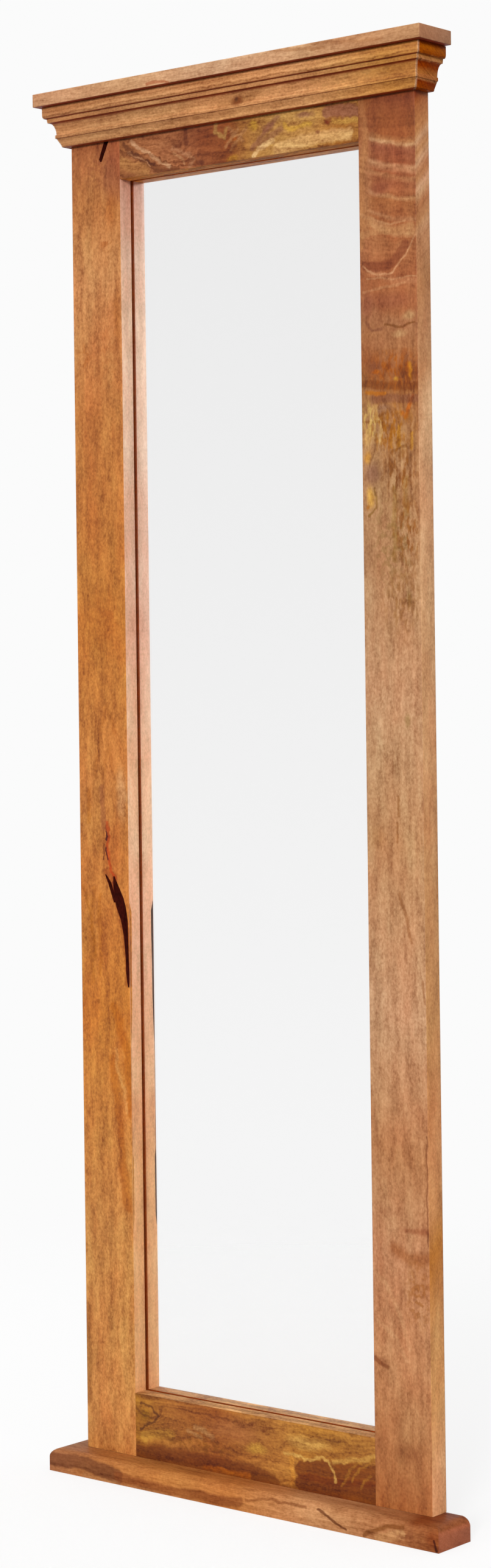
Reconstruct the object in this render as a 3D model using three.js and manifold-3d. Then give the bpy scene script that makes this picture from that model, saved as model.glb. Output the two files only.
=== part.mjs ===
// A tall framed mirror in solid mango wood: two stiles and two rails joined with
// mortise and tenon, a mitred cornice under a cap board, and a base board (the sill).
// The glass lies in a rebate behind the frame and a back panel holds it in.
// Units are millimetres. +X is to the right, +Y to the back, +Z up.
import * as THREE from 'three';
import { mergeVertices } from 'three/addons/utils/BufferGeometryUtils.js';
import Module from 'manifold-3d';

const wasm = await Module();
wasm.setup();
const { Manifold, Mesh: SolidMesh } = wasm;

// ---------------------------------------------------------------- driving sizes

const totalHeight = 1800;
const gap = 0.3; // glue line or running gap between neighbouring pieces

const frame = { width: 560, thickness: 28, stileWidth: 85, topRailFace: 51, bottomRailFace: 82 };

const sill = { thickness: 29, front: 36, ends: 35, easeRun: 13, easeDrop: 11 };
const cap = { thickness: 17, front: 36, ends: 35 };

// The cornice section from the cap down. Each member has its own drop, and goes in
// towards the frame or out from it; a quirk is the small step between two members.
const cornice = {
  projection: 27,
  fascia: { drop: 8 },
  ovolo: { in: 3, drop: 6 },
  fillet: { in: 0.8, drop: 5 },
  cove: { in: 7, drop: 17 },
  ledge: { out: 1.2, drop: 4.5 },
  foot: { in: 4, drop: 7.5 },
  arris: { in: 2.5, drop: 4 },
  quirk: 1.2,
};

const glass = { thickness: 3, rebate: 10, edgeClearance: 1.5 };
const panel = { thickness: 3, rebate: 22, edgeClearance: 1 };

// The rails' tenons. The wall is the wood left between a mortise and the stile's outside,
// and the shoulder is on the side towards the glass.
const tenon = { thickness: 9, wall: 33, shoulder: 10, endClearance: 2, screwClearance: 2 };

// Wood screws: shank and head radius, head depth, length and length of the point.
const panelScrew = { shank: 1.5, head: 3, headDepth: 1.8, length: 12, point: 3 };
const sillScrew = { shank: 2.25, head: 4.5, headDepth: 2.8, length: 55, point: 5 };
const capScrew = { shank: 2.25, head: 4.5, headDepth: 2.8, length: 40, point: 5 };
const hangerScrew = { shank: 1.6, head: 3, headDepth: 1, length: 16, point: 3 };

const headSink = 0.4; // screw heads in the back lie this far below the surface
const sillSink = 2; // the sill's screw heads stay clear of the floor
const plug = { radius: 5, length: 6 };

const boardScrewInset = 20; // from a stile's side to the screws of cap and sill
const corniceScrewDrop = 16; // below the cap
const corniceScrewBite = 12; // how far they go into the moulding
const corniceRailScrewX = 80; // from the middle, for the two that go through the rail
const panelScrewRows = 5; // along each stile
const panelScrewEnd = 70; // from the opening's corner to the first row

const corniceScrew = {
  shank: 2, head: 4, headDepth: 2.4, length: frame.thickness - headSink + corniceScrewBite, point: 4,
};

const hanger = {
  drop: 250, // from the top of the cap to the ring's axis
  width: 14,
  metal: 1.2,
  tail: 46, // plate below the axis
  upperHole: 9, // below the axis
  lowerHole: 9, // above the end of the tail
};
const ring = { wire: 1.5, width: 23, reach: 20, corner: 3.2, straight: 3, joint: 0.5 };
const bumper = { radius: 7, topRadius: 5, brim: 2, rise: 60 };

const roundSides = 12; // facets of screws, holes and plugs
const wireSides = 8; // facets of the rings' wire
const wireSteps = 44; // along the rings' wire
const quarterSteps = 5; // facets of a quarter round on a moulding or an eased edge
const curlSteps = 16; // facets of the straps' curl; one of its corners is the hindmost point
const curlEnd = -Math.PI / 3; // where the curl stops, measured from straight back
const overshoot = 1; // how far a cutting tool reaches past the wood

// ---------------------------------------------------------------- places worked out

const frameTop = totalHeight - cap.thickness;
const halfFrame = frame.width / 2;
const innerEdge = halfFrame - frame.stileWidth; // x of the opening's side
const stileBottom = sill.thickness + gap;
const stileTop = frameTop - gap;
const openingBottom = sill.thickness + frame.bottomRailFace;
const corniceHeight = Object.values(cornice).reduce((sum, member) => sum + (member.drop ?? 0), 0);
const corniceBottom = frameTop - corniceHeight;
const openingTop = corniceBottom - frame.topRailFace;

const panelFront = frame.thickness - panel.thickness;
const glassFront = panelFront - gap - glass.thickness;
const lip = glassFront - gap; // wood in front of the glass
const middle = lip / 2; // where the tenons and the boards' screws lie
const stileCentre = halfFrame - frame.stileWidth / 2;
const tenonEnd = halfFrame - tenon.wall - tenon.endClearance;
const tenonY = [middle - tenon.thickness / 2, middle + tenon.thickness / 2];
const capScrewHead = totalHeight - plug.length - gap;

const ringAxis = {
  y: frame.thickness + hanger.metal + gap + ring.wire,
  z: totalHeight - hanger.drop,
};
const curlRadius = ring.wire + gap + hanger.metal; // outside of the strap's curl
const hangerX = halfFrame - (frame.stileWidth - panel.rebate) / 2;
const backmost = ringAxis.y + curlRadius;

const boardScrewXs = [
  -halfFrame + boardScrewInset,
  -innerEdge - boardScrewInset,
  0,
  innerEdge + boardScrewInset,
  halfFrame - boardScrewInset,
];
const corniceScrewXs = [-stileCentre, -corniceRailScrewX, corniceRailScrewX, stileCentre];

// ---------------------------------------------------------------- helpers

// A box from its low corner to its high corner.
function block(low, high) {
  const size = high.map((value, axis) => value - low[axis]);
  const centre = high.map((value, axis) => (value + low[axis]) / 2);
  return new THREE.BoxGeometry(...size).translate(...centre);
}

// An outline of [across, up] points, swept along an axis from start to end.
// Across is Y for a sweep along X, and X for a sweep along Y or Z.
function prism(outline, axis, start, end) {
  const shape = new THREE.Shape(outline.map(([across, up]) => new THREE.Vector2(across, up)));
  const body = new THREE.ExtrudeGeometry(shape, { depth: end - start, bevelEnabled: false });
  body.translate(0, 0, axis === 'y' ? -end : start);
  const x = new THREE.Vector3(1, 0, 0);
  const y = new THREE.Vector3(0, 1, 0);
  const z = new THREE.Vector3(0, 0, 1);
  const bases = { x: [y, z, x], y: [x, z, y.clone().negate()], z: [x, y, z] };
  return body.applyMatrix4(new THREE.Matrix4().makeBasis(...bases[axis]));
}

// A lathe body whose [radius, height] profile starts and ends on the axis.
// It is turned to point along direction, and its foot stands at position.
function turned(profile, position, direction) {
  const points = profile.map(([radius, height]) => new THREE.Vector2(radius, height));
  const turn = new THREE.Quaternion().setFromUnitVectors(
    new THREE.Vector3(0, 1, 0),
    new THREE.Vector3(...direction),
  );
  return new THREE.LatheGeometry(points, roundSides).applyQuaternion(turn).translate(...position);
}

const screwProfile = (screw) => [
  [0, 0],
  [screw.head, 0],
  [screw.shank, screw.headDepth],
  [screw.shank, screw.length - screw.point],
  [0, screw.length],
];

// The hole for a screw: the same form, wider and longer by the gap, and open above the head.
const holeProfile = (screw, mouth) => [
  [0, -mouth],
  [screw.head + gap, -mouth],
  [screw.head + gap, gap],
  [screw.shank + gap, screw.headDepth + gap],
  [screw.shank + gap, screw.length + gap],
  [0, screw.length + gap],
];

function toSolid(geometry) {
  const bare = geometry.clone();
  bare.deleteAttribute('normal');
  bare.deleteAttribute('uv');
  const merged = mergeVertices(bare, 1e-4);
  return new Manifold(new SolidMesh({
    numProp: 3,
    vertProperties: new Float32Array(merged.attributes.position.array),
    triVerts: new Uint32Array(merged.index.array),
  }));
}

function toGeometry(solid) {
  const mesh = solid.getMesh();
  const geometry = new THREE.BufferGeometry();
  geometry.setAttribute('position', new THREE.BufferAttribute(mesh.vertProperties, 3));
  geometry.setIndex(new THREE.BufferAttribute(mesh.triVerts, 1));
  geometry.computeVertexNormals();
  return geometry;
}

// base with more geometries added and others cut away
function carve(base, { add = [], cut = [] }) {
  const joined = add.reduce((solid, extra) => solid.add(toSolid(extra)), toSolid(base));
  return toGeometry(cut.reduce((solid, tool) => solid.subtract(toSolid(tool)), joined));
}

// ---------------------------------------------------------------- materials

const finish = (color, roughness, metalness = 0) =>
  new THREE.MeshStandardMaterial({ color, roughness, metalness });

const goldenWood = finish('#b9743d', 0.5);
const redWood = finish('#a86a45', 0.5);
const figuredWood = finish('#9a6238', 0.5);
const paleWood = finish('#c28a5c', 0.5);
const silvered = finish('#e9ecec', 0.03, 1);
const hardboard = finish('#7a5537', 0.85);
const zincSteel = finish('#b9bab6', 0.35, 1);
const clearRubber = finish('#d8dad6', 0.6);

const group = new THREE.Group();

function place(name, geometry, material) {
  const mesh = new THREE.Mesh(geometry, material);
  mesh.name = name;
  group.add(mesh);
}

// ---------------------------------------------------------------- screws and their holes

// Each entry says where a head lies, which way the screw points, and its kind.
const sillScrews = boardScrewXs.map((x) => ({
  screw: sillScrew, at: [x, middle, sillSink], towards: [0, 0, 1], mouth: sillSink + overshoot,
}));
const capScrews = boardScrewXs.map((x) => ({
  screw: capScrew, at: [x, middle, capScrewHead], towards: [0, 0, -1], mouth: 0,
}));
const corniceScrews = corniceScrewXs.map((x) => ({
  screw: corniceScrew,
  at: [x, frame.thickness - headSink, frameTop - corniceScrewDrop],
  towards: [0, -1, 0],
  mouth: headSink + overshoot,
}));

// The back panel's screws stand in the middle of the wood between its two rebates.
const panelScrewBand = (glass.rebate + panel.rebate) / 2;
const panelScrewSpan = openingTop - openingBottom - 2 * panelScrewEnd;
const panelScrewZs = Array.from(
  { length: panelScrewRows },
  (_, row) => openingBottom + panelScrewEnd + (panelScrewSpan * row) / (panelScrewRows - 1),
);
const panelScrewPlaces = [
  ...panelScrewZs.map((z) => [-innerEdge - panelScrewBand, z]),
  ...panelScrewZs.map((z) => [innerEdge + panelScrewBand, z]),
  [0, openingBottom - panelScrewBand],
  [0, openingTop + panelScrewBand],
];
const panelScrews = panelScrewPlaces.map(([x, z]) => ({
  screw: panelScrew,
  at: [x, frame.thickness - headSink, z],
  towards: [0, -1, 0],
  mouth: headSink + overshoot,
}));

const hangerHoles = [hanger.upperHole, hanger.tail - hanger.lowerHole];
const hangerScrews = (side) => hangerHoles.map((below) => ({
  screw: hangerScrew,
  at: [side * hangerX, frame.thickness + hanger.metal, ringAxis.z - below],
  towards: [0, -1, 0],
  mouth: overshoot,
}));

const screwBody = ({ screw, at, towards }) => turned(screwProfile(screw), at, towards);
const screwHole = ({ screw, at, towards, mouth }) => turned(holeProfile(screw, mouth), at, towards);

function placeScrews(prefix, screws, digits = 1) {
  screws.forEach((entry, index) => {
    const number = String(index + 1).padStart(digits, '0');
    place(`${prefix}_${number}`, screwBody(entry), zincSteel);
  });
}

// ---------------------------------------------------------------- frame

// z range of the two rails, and of their tenons, which stop short of the long screws
const rails = {
  bottom: {
    low: stileBottom,
    high: openingBottom,
    tenonLow: sillSink + sillScrew.length + tenon.screwClearance,
    tenonHigh: openingBottom - tenon.shoulder,
  },
  top: {
    low: openingTop,
    high: stileTop,
    tenonLow: openingTop + tenon.shoulder,
    tenonHigh: capScrewHead - capScrew.length - tenon.screwClearance,
  },
};

// The two steps that the glass and the back panel lie in, cut round the opening.
const rebates = [
  block(
    [-innerEdge - glass.rebate, lip, openingBottom - glass.rebate],
    [innerEdge + glass.rebate, frame.thickness + overshoot, openingTop + glass.rebate],
  ),
  block(
    [-innerEdge - panel.rebate, panelFront - gap, openingBottom - panel.rebate],
    [innerEdge + panel.rebate, frame.thickness + overshoot, openingTop + panel.rebate],
  ),
];

function stile(side) {
  const [outer, inner] = [side * halfFrame, side * innerEdge];
  const body = block(
    [Math.min(outer, inner), 0, stileBottom],
    [Math.max(outer, inner), frame.thickness, stileTop],
  );
  const mouth = inner - side * overshoot;
  const end = outer - side * tenon.wall;
  const mortises = Object.values(rails).map(({ tenonLow, tenonHigh }) => block(
    [Math.min(mouth, end), tenonY[0] - gap, tenonLow - gap],
    [Math.max(mouth, end), tenonY[1] + gap, tenonHigh + gap],
  ));
  const screws = [
    ...sillScrews, ...capScrews, ...corniceScrews, ...panelScrews, ...hangerScrews(side),
  ].filter((entry) => Math.abs(entry.at[0] - side * stileCentre) < frame.stileWidth / 2);
  return carve(body, { cut: [...rebates, ...mortises, ...screws.map(screwHole)] });
}

function rail(range) {
  const shoulder = innerEdge - gap;
  const body = block([-shoulder, 0, range.low], [shoulder, frame.thickness, range.high]);
  const tongue = block(
    [-tenonEnd, tenonY[0], range.tenonLow],
    [tenonEnd, tenonY[1], range.tenonHigh],
  );
  const screws = [...sillScrews, ...capScrews, ...corniceScrews, ...panelScrews]
    .filter((entry) => Math.abs(entry.at[0]) < innerEdge);
  return carve(body, { add: [tongue], cut: [...rebates, ...screws.map(screwHole)] });
}

place('left_stile', stile(-1), goldenWood);
place('right_stile', stile(1), redWood);
place('top_rail', rail(rails.top), figuredWood);
place('bottom_rail', rail(rails.bottom), figuredWood);

// ---------------------------------------------------------------- sill and cap

// A board's edge that is eased by a quarter of an ellipse on the top arris.
// side is -1 for an edge that faces down the across axis and +1 for one that faces up it.
function easedEdge(edge, side) {
  return Array.from({ length: quarterSteps + 1 }, (_, step) => {
    const angle = (Math.PI / 2) * (step / quarterSteps);
    return [
      edge - side * sill.easeRun * (1 - Math.cos(angle)),
      sill.thickness - sill.easeDrop * (1 - Math.sin(angle)),
    ];
  });
}

function sillBoard() {
  const halfLength = halfFrame + sill.ends;
  const frontToBack = prism([
    [frame.thickness, 0],
    [frame.thickness, sill.thickness],
    ...easedEdge(-sill.front, -1).reverse(),
    [-sill.front, 0],
  ], 'x', -halfLength - overshoot, halfLength + overshoot);
  const endToEnd = prism([
    [halfLength, 0],
    ...easedEdge(halfLength, 1),
    ...easedEdge(-halfLength, -1).reverse(),
    [-halfLength, 0],
  ], 'y', -sill.front - overshoot, frame.thickness + overshoot);
  const solid = toSolid(frontToBack).intersect(toSolid(endToEnd));
  return toGeometry(sillScrews.reduce(
    (body, entry) => body.subtract(toSolid(screwHole(entry))), solid,
  ));
}

function capBoard() {
  const halfLength = halfFrame + cap.ends;
  const body = block(
    [-halfLength, -cap.front, frameTop],
    [halfLength, frame.thickness, totalHeight],
  );
  const bore = plug.radius + gap;
  const depth = plug.length + gap + overshoot;
  const counterbores = capScrews.map(({ at }) => turned(
    [[0, 0], [bore, 0], [bore, depth], [0, depth]], at, [0, 0, 1],
  ));
  return carve(body, { cut: [...counterbores, ...capScrews.map(screwHole)] });
}

place('sill_board', sillBoard(), goldenWood);
place('cap_board', capBoard(), paleWood);

// ---------------------------------------------------------------- cornice

// A quarter of an ellipse from one [projection, height] point to the next. A cove leaves
// the first point level and reaches the second upright; an ovolo does the opposite.
function quarter([p0, z0], [p1, z1], kind) {
  return Array.from({ length: quarterSteps }, (_, index) => {
    const angle = (Math.PI / 2) * ((index + 1) / quarterSteps);
    const [across, down] = kind === 'cove'
      ? [Math.sin(angle), 1 - Math.cos(angle)]
      : [1 - Math.cos(angle), Math.sin(angle)];
    return [p0 + (p1 - p0) * across, z0 + (z1 - z0) * down];
  });
}

// The moulding's outline as [projection, height], from the back at the top, out along
// the cap and down the face.
function corniceSection() {
  const { fascia, ovolo, fillet, cove, ledge, foot, arris, quirk } = cornice;
  const outline = [[gap, frameTop - gap], [cornice.projection, frameTop - gap]];
  const last = () => outline[outline.length - 1];
  const step = (inwards, drop) => outline.push([last()[0] - inwards, last()[1] - drop]);
  const curve = (member, kind) => {
    const [p, z] = last();
    outline.push(...quarter([p, z], [p - member.in, z - member.drop], kind));
  };
  step(0, fascia.drop - gap);
  curve(ovolo, 'ovolo');
  step(quirk, 0);
  step(fillet.in, fillet.drop);
  step(quirk, 0);
  curve(cove, 'cove');
  step(-ledge.out, 0);
  step(0, ledge.drop);
  step(quirk, 0);
  step(foot.in, foot.drop);
  curve(arris, 'ovolo');
  outline.push([gap, corniceBottom]);
  return outline;
}

const mouldingSection = corniceSection();
const sweepReach = cornice.projection + overshoot; // uncut end of a moulding, past the corner
const mitreReach = 2 * sweepReach; // the cutting wedge reaches past that

// A right-angled wedge over one mitred corner, seen from above, with its point on the
// frame's corner; side is -1 or +1 for the left or the right corner.
function mitreWedge(side, towardsFront) {
  const shift = (gap / 2) * Math.SQRT2;
  const corner = new THREE.Vector2(side * halfFrame, 0);
  const tip = new THREE.Vector2(side * (halfFrame + mitreReach), -mitreReach);
  const inward = new THREE.Vector2(side * (halfFrame - mitreReach), mitreReach);
  const far = towardsFront
    ? new THREE.Vector2(side * (halfFrame - mitreReach), -mitreReach)
    : new THREE.Vector2(side * (halfFrame + mitreReach), mitreReach);
  const offset = side * (towardsFront ? shift : -shift);
  const points = [inward, corner, tip, far].map((point) => [point.x + offset, point.y]);
  const area = THREE.ShapeUtils.area(points.map(([x, y]) => ({ x, y })));
  return prism(
    area < 0 ? points.reverse() : points, 'z', corniceBottom - overshoot, frameTop + overshoot,
  );
}

function corniceFront() {
  const reach = halfFrame + sweepReach;
  const outline = mouldingSection.map(([p, z]) => [-p, z]);
  const length = toSolid(prism(outline, 'x', -reach, reach));
  const cutLeft = length.subtract(toSolid(mitreWedge(-1, false)));
  const cutBoth = cutLeft.subtract(toSolid(mitreWedge(1, false)));
  return toGeometry(corniceScrews.reduce(
    (body, entry) => body.subtract(toSolid(screwHole(entry))), cutBoth,
  ));
}

function corniceReturn(side) {
  const outline = mouldingSection.map(([p, z]) => [side * (halfFrame + p), z]);
  if (side > 0) outline.reverse();
  const length = toSolid(prism(outline, 'y', -sweepReach, frame.thickness));
  return toGeometry(length.subtract(toSolid(mitreWedge(side, true))));
}

place('cornice_front', corniceFront(), paleWood);
place('cornice_left_return', corniceReturn(-1), paleWood);
place('cornice_right_return', corniceReturn(1), paleWood);

// ---------------------------------------------------------------- glass and back panel

// A sheet that fills a rebate of a given width, less a clearance all round.
function sheet(rebate, clearance, front, thickness) {
  const overlap = rebate - clearance;
  return block(
    [-innerEdge - overlap, front, openingBottom - overlap],
    [innerEdge + overlap, front + thickness, openingTop + overlap],
  );
}

place('mirror_glass', sheet(glass.rebate, glass.edgeClearance, glassFront, glass.thickness), silvered);
place('back_panel', carve(
  sheet(panel.rebate, panel.edgeClearance, panelFront, panel.thickness),
  { cut: panelScrews.map(screwHole) },
), hardboard);

// ---------------------------------------------------------------- screws and plugs

placeScrews('panel_screw', panelScrews, 2);
placeScrews('sill_screw', sillScrews);
placeScrews('cap_screw', capScrews);
placeScrews('cornice_screw', corniceScrews);

capScrews.forEach(({ at: [x, y] }, index) => {
  const foot = totalHeight - plug.length;
  const profile = [[0, 0], [plug.radius, 0], [plug.radius, plug.length], [0, plug.length]];
  place(`cap_plug_${index + 1}`, turned(profile, [x, y, foot], [0, 0, 1]), paleWood);
});

// ---------------------------------------------------------------- hangers and bumpers

// One strip of steel: a flat plate with its upper end curled round the ring's bar.
function hangerStrap(side) {
  const { y, z } = ringAxis;
  const arc = (radius) => Array.from({ length: curlSteps + 1 }, (_, step) => {
    const angle = Math.PI + (curlEnd - Math.PI) * (step / curlSteps);
    return [y + radius * Math.cos(angle), z + radius * Math.sin(angle)];
  });
  const outer = arc(curlRadius);
  const inner = arc(curlRadius - hanger.metal).reverse();
  const outline = [
    [frame.thickness + hanger.metal, z - hanger.tail],
    [frame.thickness, z - hanger.tail],
    ...outer,
    ...inner,
  ].reverse();
  const x = side * hangerX;
  const strip = prism(outline, 'x', x - hanger.width / 2, x + hanger.width / 2);
  return carve(strip, { cut: hangerScrews(side).map(screwHole) });
}

// The D-ring: one wire whose two ends meet inside the curl.
function hangerRing(side) {
  const { width, reach, corner, straight, joint } = ring;
  const bowTop = -corner - straight;
  const half = width / 2;
  const points = [];
  const go = (x, z) => points.push(new THREE.Vector3(side * hangerX + x, ringAxis.y, ringAxis.z + z));
  const bow = (cx, cz, radiusX, radiusZ, from, to, steps) => {
    for (let step = 0; step <= steps; step += 1) {
      const angle = from + ((to - from) * step) / steps;
      go(cx + radiusX * Math.cos(angle), cz + radiusZ * Math.sin(angle));
    }
  };
  go(joint / 2, 0);
  go(half / 2, 0);
  bow(half - corner, -corner, corner, corner, Math.PI / 2, 0, 3);
  bow(0, bowTop, half, reach + bowTop, 0, -Math.PI, 12);
  bow(-half + corner, -corner, corner, corner, Math.PI, Math.PI / 2, 3);
  go(-half / 2, 0);
  go(-joint / 2, 0);
  const path = new THREE.CatmullRomCurve3(points, false, 'centripetal');
  const section = new THREE.Shape(
    Array.from({ length: wireSides }, (_, step) => {
      const angle = (2 * Math.PI * step) / wireSides;
      return new THREE.Vector2(ring.wire * Math.cos(angle), ring.wire * Math.sin(angle));
    }),
  );
  return new THREE.ExtrudeGeometry(section, { steps: wireSteps, extrudePath: path });
}

// A bumper is as high as the hanger above it, so that the mirror hangs upright. It is
// stuck on with a glue pad as thick as the gap.
function wallBumper(side) {
  const height = backmost - frame.thickness - gap;
  return turned(
    [[0, 0], [bumper.radius, 0], [bumper.radius, bumper.brim], [bumper.topRadius, height], [0, height]],
    [side * hangerX, frame.thickness + gap, sill.thickness + bumper.rise], [0, 1, 0],
  );
}

for (const [name, side] of [['left', -1], ['right', 1]]) {
  place(`${name}_hanger_strap`, hangerStrap(side), zincSteel);
  place(`${name}_hanger_ring`, hangerRing(side), zincSteel);
  placeScrews(`${name}_hanger_screw`, hangerScrews(side));
  place(`${name}_wall_bumper`, wallBumper(side), clearRubber);
}

// The origin is the middle of the outline seen from above, on the floor.
const frontmost = -Math.max(sill.front, cap.front);
group.position.y = -(frontmost + backmost) / 2;

export default group;
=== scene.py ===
# %% [markdown]
# # A tall mirror in a solid mango wood frame
# Two uprights and two rails hold the glass. A mitred crown moulding and a top board finish
# the head, and a wide base board stands on the floor. Each of these is a board that a
# joiner planes, moulds and screws together, so each is a piece of its own here too.
# The measured model comes first: it says where every board and screw lies.

# %% Load the measured model
import math

import bmesh
import bpy
from mathutils import Matrix, Vector


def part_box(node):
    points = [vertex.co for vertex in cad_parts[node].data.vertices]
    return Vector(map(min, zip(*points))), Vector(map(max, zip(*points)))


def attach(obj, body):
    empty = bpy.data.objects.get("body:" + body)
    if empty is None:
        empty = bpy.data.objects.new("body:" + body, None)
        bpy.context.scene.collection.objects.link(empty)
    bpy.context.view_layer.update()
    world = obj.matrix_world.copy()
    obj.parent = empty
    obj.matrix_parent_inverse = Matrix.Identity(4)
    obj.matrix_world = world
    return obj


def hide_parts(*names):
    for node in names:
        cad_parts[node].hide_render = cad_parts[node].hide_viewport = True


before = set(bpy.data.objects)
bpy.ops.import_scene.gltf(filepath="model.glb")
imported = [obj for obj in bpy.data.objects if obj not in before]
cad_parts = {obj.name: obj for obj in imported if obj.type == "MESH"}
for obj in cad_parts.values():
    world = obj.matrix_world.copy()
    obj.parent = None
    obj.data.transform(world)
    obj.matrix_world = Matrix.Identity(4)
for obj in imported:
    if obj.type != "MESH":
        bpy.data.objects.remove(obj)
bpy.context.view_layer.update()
scene = bpy.context.scene
MM = 0.001

# %% [markdown]
# ## The camera
# The mirror is seen from the right and from about chest height, with a long lens, so
# uprights stay nearly parallel. The picture is tall and narrow and its frame sits a little
# below the level line of sight: that is a lens shift, as on a view camera, and it keeps the
# uprights from leaning.

# %% Camera
CAMERA_PLACE = (2.43997, -2.90230, 1.02271)
CAMERA_TURN, CAMERA_TILT = math.radians(39.976), math.radians(-0.734)
lens = bpy.data.cameras.new("camera")
lens.lens, lens.sensor_width, lens.shift_y = 69.594, 36, -0.0625
camera = bpy.data.objects.new("camera", lens)
camera.matrix_world = (
    Matrix.Translation(CAMERA_PLACE)
    @ Matrix.Rotation(CAMERA_TURN, 4, "Z")
    @ Matrix.Rotation(math.pi / 2, 4, "X")
    @ Matrix.Rotation(CAMERA_TILT, 4, "Z")
)
scene.collection.objects.link(camera)
scene.camera = camera
scene.view_settings.view_transform = "Standard"
print("camera", round(lens.lens, 1), "mm at", CAMERA_PLACE)

# %% [markdown]
# ## Small helpers
# Colours are written as the hex values that a painter's chart or a web page would give;
# the renderer wants them linear. One function turns them over, and one adds a node with
# its settings and links. A node hides the sockets that its settings leave out of use, so
# inputs are counted, or named, among those in use. Everything that follows rests on these.

# %% Colour and node helpers
FLOAT, VECTOR = "NodeSocketFloat", "NodeSocketVector"
NUMBER_SOCKETS = {int: "NodeSocketInt", float: FLOAT}


def linear(code):
    """An sRGB hex colour as linear red, green, blue and alpha."""
    parts = [int(code[i:i + 2], 16) / 255 for i in (0, 2, 4)]
    return (*(c / 12.92 if c <= 0.04045 else ((c + 0.055) / 1.055) ** 2.4 for c in parts), 1)


def feed(tree, socket, value):
    """Sets an input, or links it to a socket or to a node's first output in use. An input that
    takes several links gets a list."""
    if isinstance(value, list):
        for part in value:
            feed(tree, socket, part)
        return
    if isinstance(value, bpy.types.Node):
        value = next(output for output in value.outputs if output.enabled)
    if isinstance(value, bpy.types.NodeSocket):
        tree.links.new(value, socket)
    else:
        socket.default_value = value


def add(tree, kind, inputs=(), **settings):
    """A node of this kind, with its settings. Its inputs are given in order or by name."""
    node = tree.nodes.new(kind)
    for key, value in settings.items():
        setattr(node, key, value)
    in_use = [socket for socket in node.inputs if socket.enabled]
    if isinstance(inputs, dict):
        named = {socket.name: socket for socket in in_use}
        pairs = [(named[label], value) for label, value in inputs.items()]
    else:
        pairs = zip(in_use, inputs)
    for socket, value in pairs:
        feed(tree, socket, value)
    return node


def new_group(name, kind, inputs, outputs):
    """An empty node group, its inputs and its outputs. Each input is the type of its socket,
    or the number that it has until another is given."""
    tree = bpy.data.node_groups.new(name, kind)
    for label, value in inputs.items():
        number = not isinstance(value, str)
        socket = tree.interface.new_socket(
            label, in_out="INPUT", socket_type=NUMBER_SOCKETS[type(value)] if number else value)
        if number:
            socket.default_value = value
    for label, socket_type in outputs.items():
        tree.interface.new_socket(label, in_out="OUTPUT", socket_type=socket_type)
    return tree, tree.nodes.new("NodeGroupInput").outputs, tree.nodes.new("NodeGroupOutput").inputs


def new_material(name):
    """A material with no nodes yet, and its tree."""
    material = bpy.data.materials.new(name)
    material.use_nodes = True
    material.node_tree.nodes.clear()
    return material, material.node_tree


print("mid brown is", [round(v, 3) for v in linear("a06a3c")])

# %% [markdown]
# ## Mango wood: the fibres
# Mango is a pale to golden brown hardwood with brown, reddish and ochre streaks. Planed and
# oiled it has a soft satin surface. Fine things show on any face: long thin fibres, a mottle
# where the fibres wander, in soft patches of 15 by 60 mm and in specks of a few, and open
# pores like short dark scratches. Each is a noise stretched along the grain by its real
# size. Real pores are about 0.2 mm wide, too fine to show, so they are drawn at 0.7 mm.

# %% Fibres, mottle and pores as a node group
FIBRE_NOISES = (
    # what it belongs to, size across and along the grain in mm, detail, share
    ("Mottle", 15, 60, 3.0, 1.1), ("Mottle", 6, 11, 2.0, 0.5), ("Mottle", 2.4, 3.4, 2.5, 1.0),
    ("Fibre", 1.1, 16, 2.0, 1.0),
)
PORE = (0.7, 0.7, 4)


def spots(*sizes):
    """What a place is multiplied by, so that a noise of scale 1 has spots of these sizes."""
    return tuple(1 / size for size in sizes)


fibres, given, result = new_group(
    "mango_fibres", "ShaderNodeTree", {"Place": VECTOR, "Fibre": 0.5, "Mottle": 0.5},
    {"Tone": FLOAT, "Pores": FLOAT, "Height": FLOAT})
# Place is in millimetres: X across the board, Y through it and Z along the grain.
total = 0.0
for label, across, along, detail, share in FIBRE_NOISES:
    flow = add(fibres, "ShaderNodeVectorMath", (given["Place"], spots(across, across, along)),
               operation="MULTIPLY")
    threads = add(fibres, "ShaderNodeTexNoise", {"Vector": flow, "Scale": 1.0, "Detail": detail})
    centred = add(fibres, "ShaderNodeMath", (threads, 0.5), operation="SUBTRACT")
    weight = add(fibres, "ShaderNodeMath", (given[label], share), operation="MULTIPLY")
    total = add(fibres, "ShaderNodeMath", (centred, weight, total), operation="MULTIPLY_ADD")
flow = add(fibres, "ShaderNodeVectorMath", (given["Place"], spots(*PORE)), operation="MULTIPLY")
noise = add(fibres, "ShaderNodeTexNoise", {"Vector": flow, "Scale": 1.0, "Detail": 1.0})
pores = add(fibres, "ShaderNodeMapRange", (noise, 0.6, 0.75, 0.0, 1.0))
height = add(fibres, "ShaderNodeMath", (pores, -0.6, threads), operation="MULTIPLY_ADD")
for label, node in (("Tone", total), ("Pores", pores), ("Height", height)):
    feed(fibres, result[label], node)
print("fibre nodes", len(fibres.nodes))

# %% [markdown]
# ## Mango wood: the figure
# What makes one board unlike the next is its figure. A tree lays its wood down in layers, and
# the lines on a board are where the saw went through them, as contour lines on a map. So a
# board gets a field, in millimetres of growth: a slope across the board, swayed by a slow
# noise, and humped up round a knot. A noise of that field alone draws the layers.
# Gum, spalting and curls are laid on top like a grainer's brush work: a stroke is a soft line
# between two places on the board's face, a patch is a soft oval, a blotch is a broken one, and
# flecks are short marks along the grain inside an oval.

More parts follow.
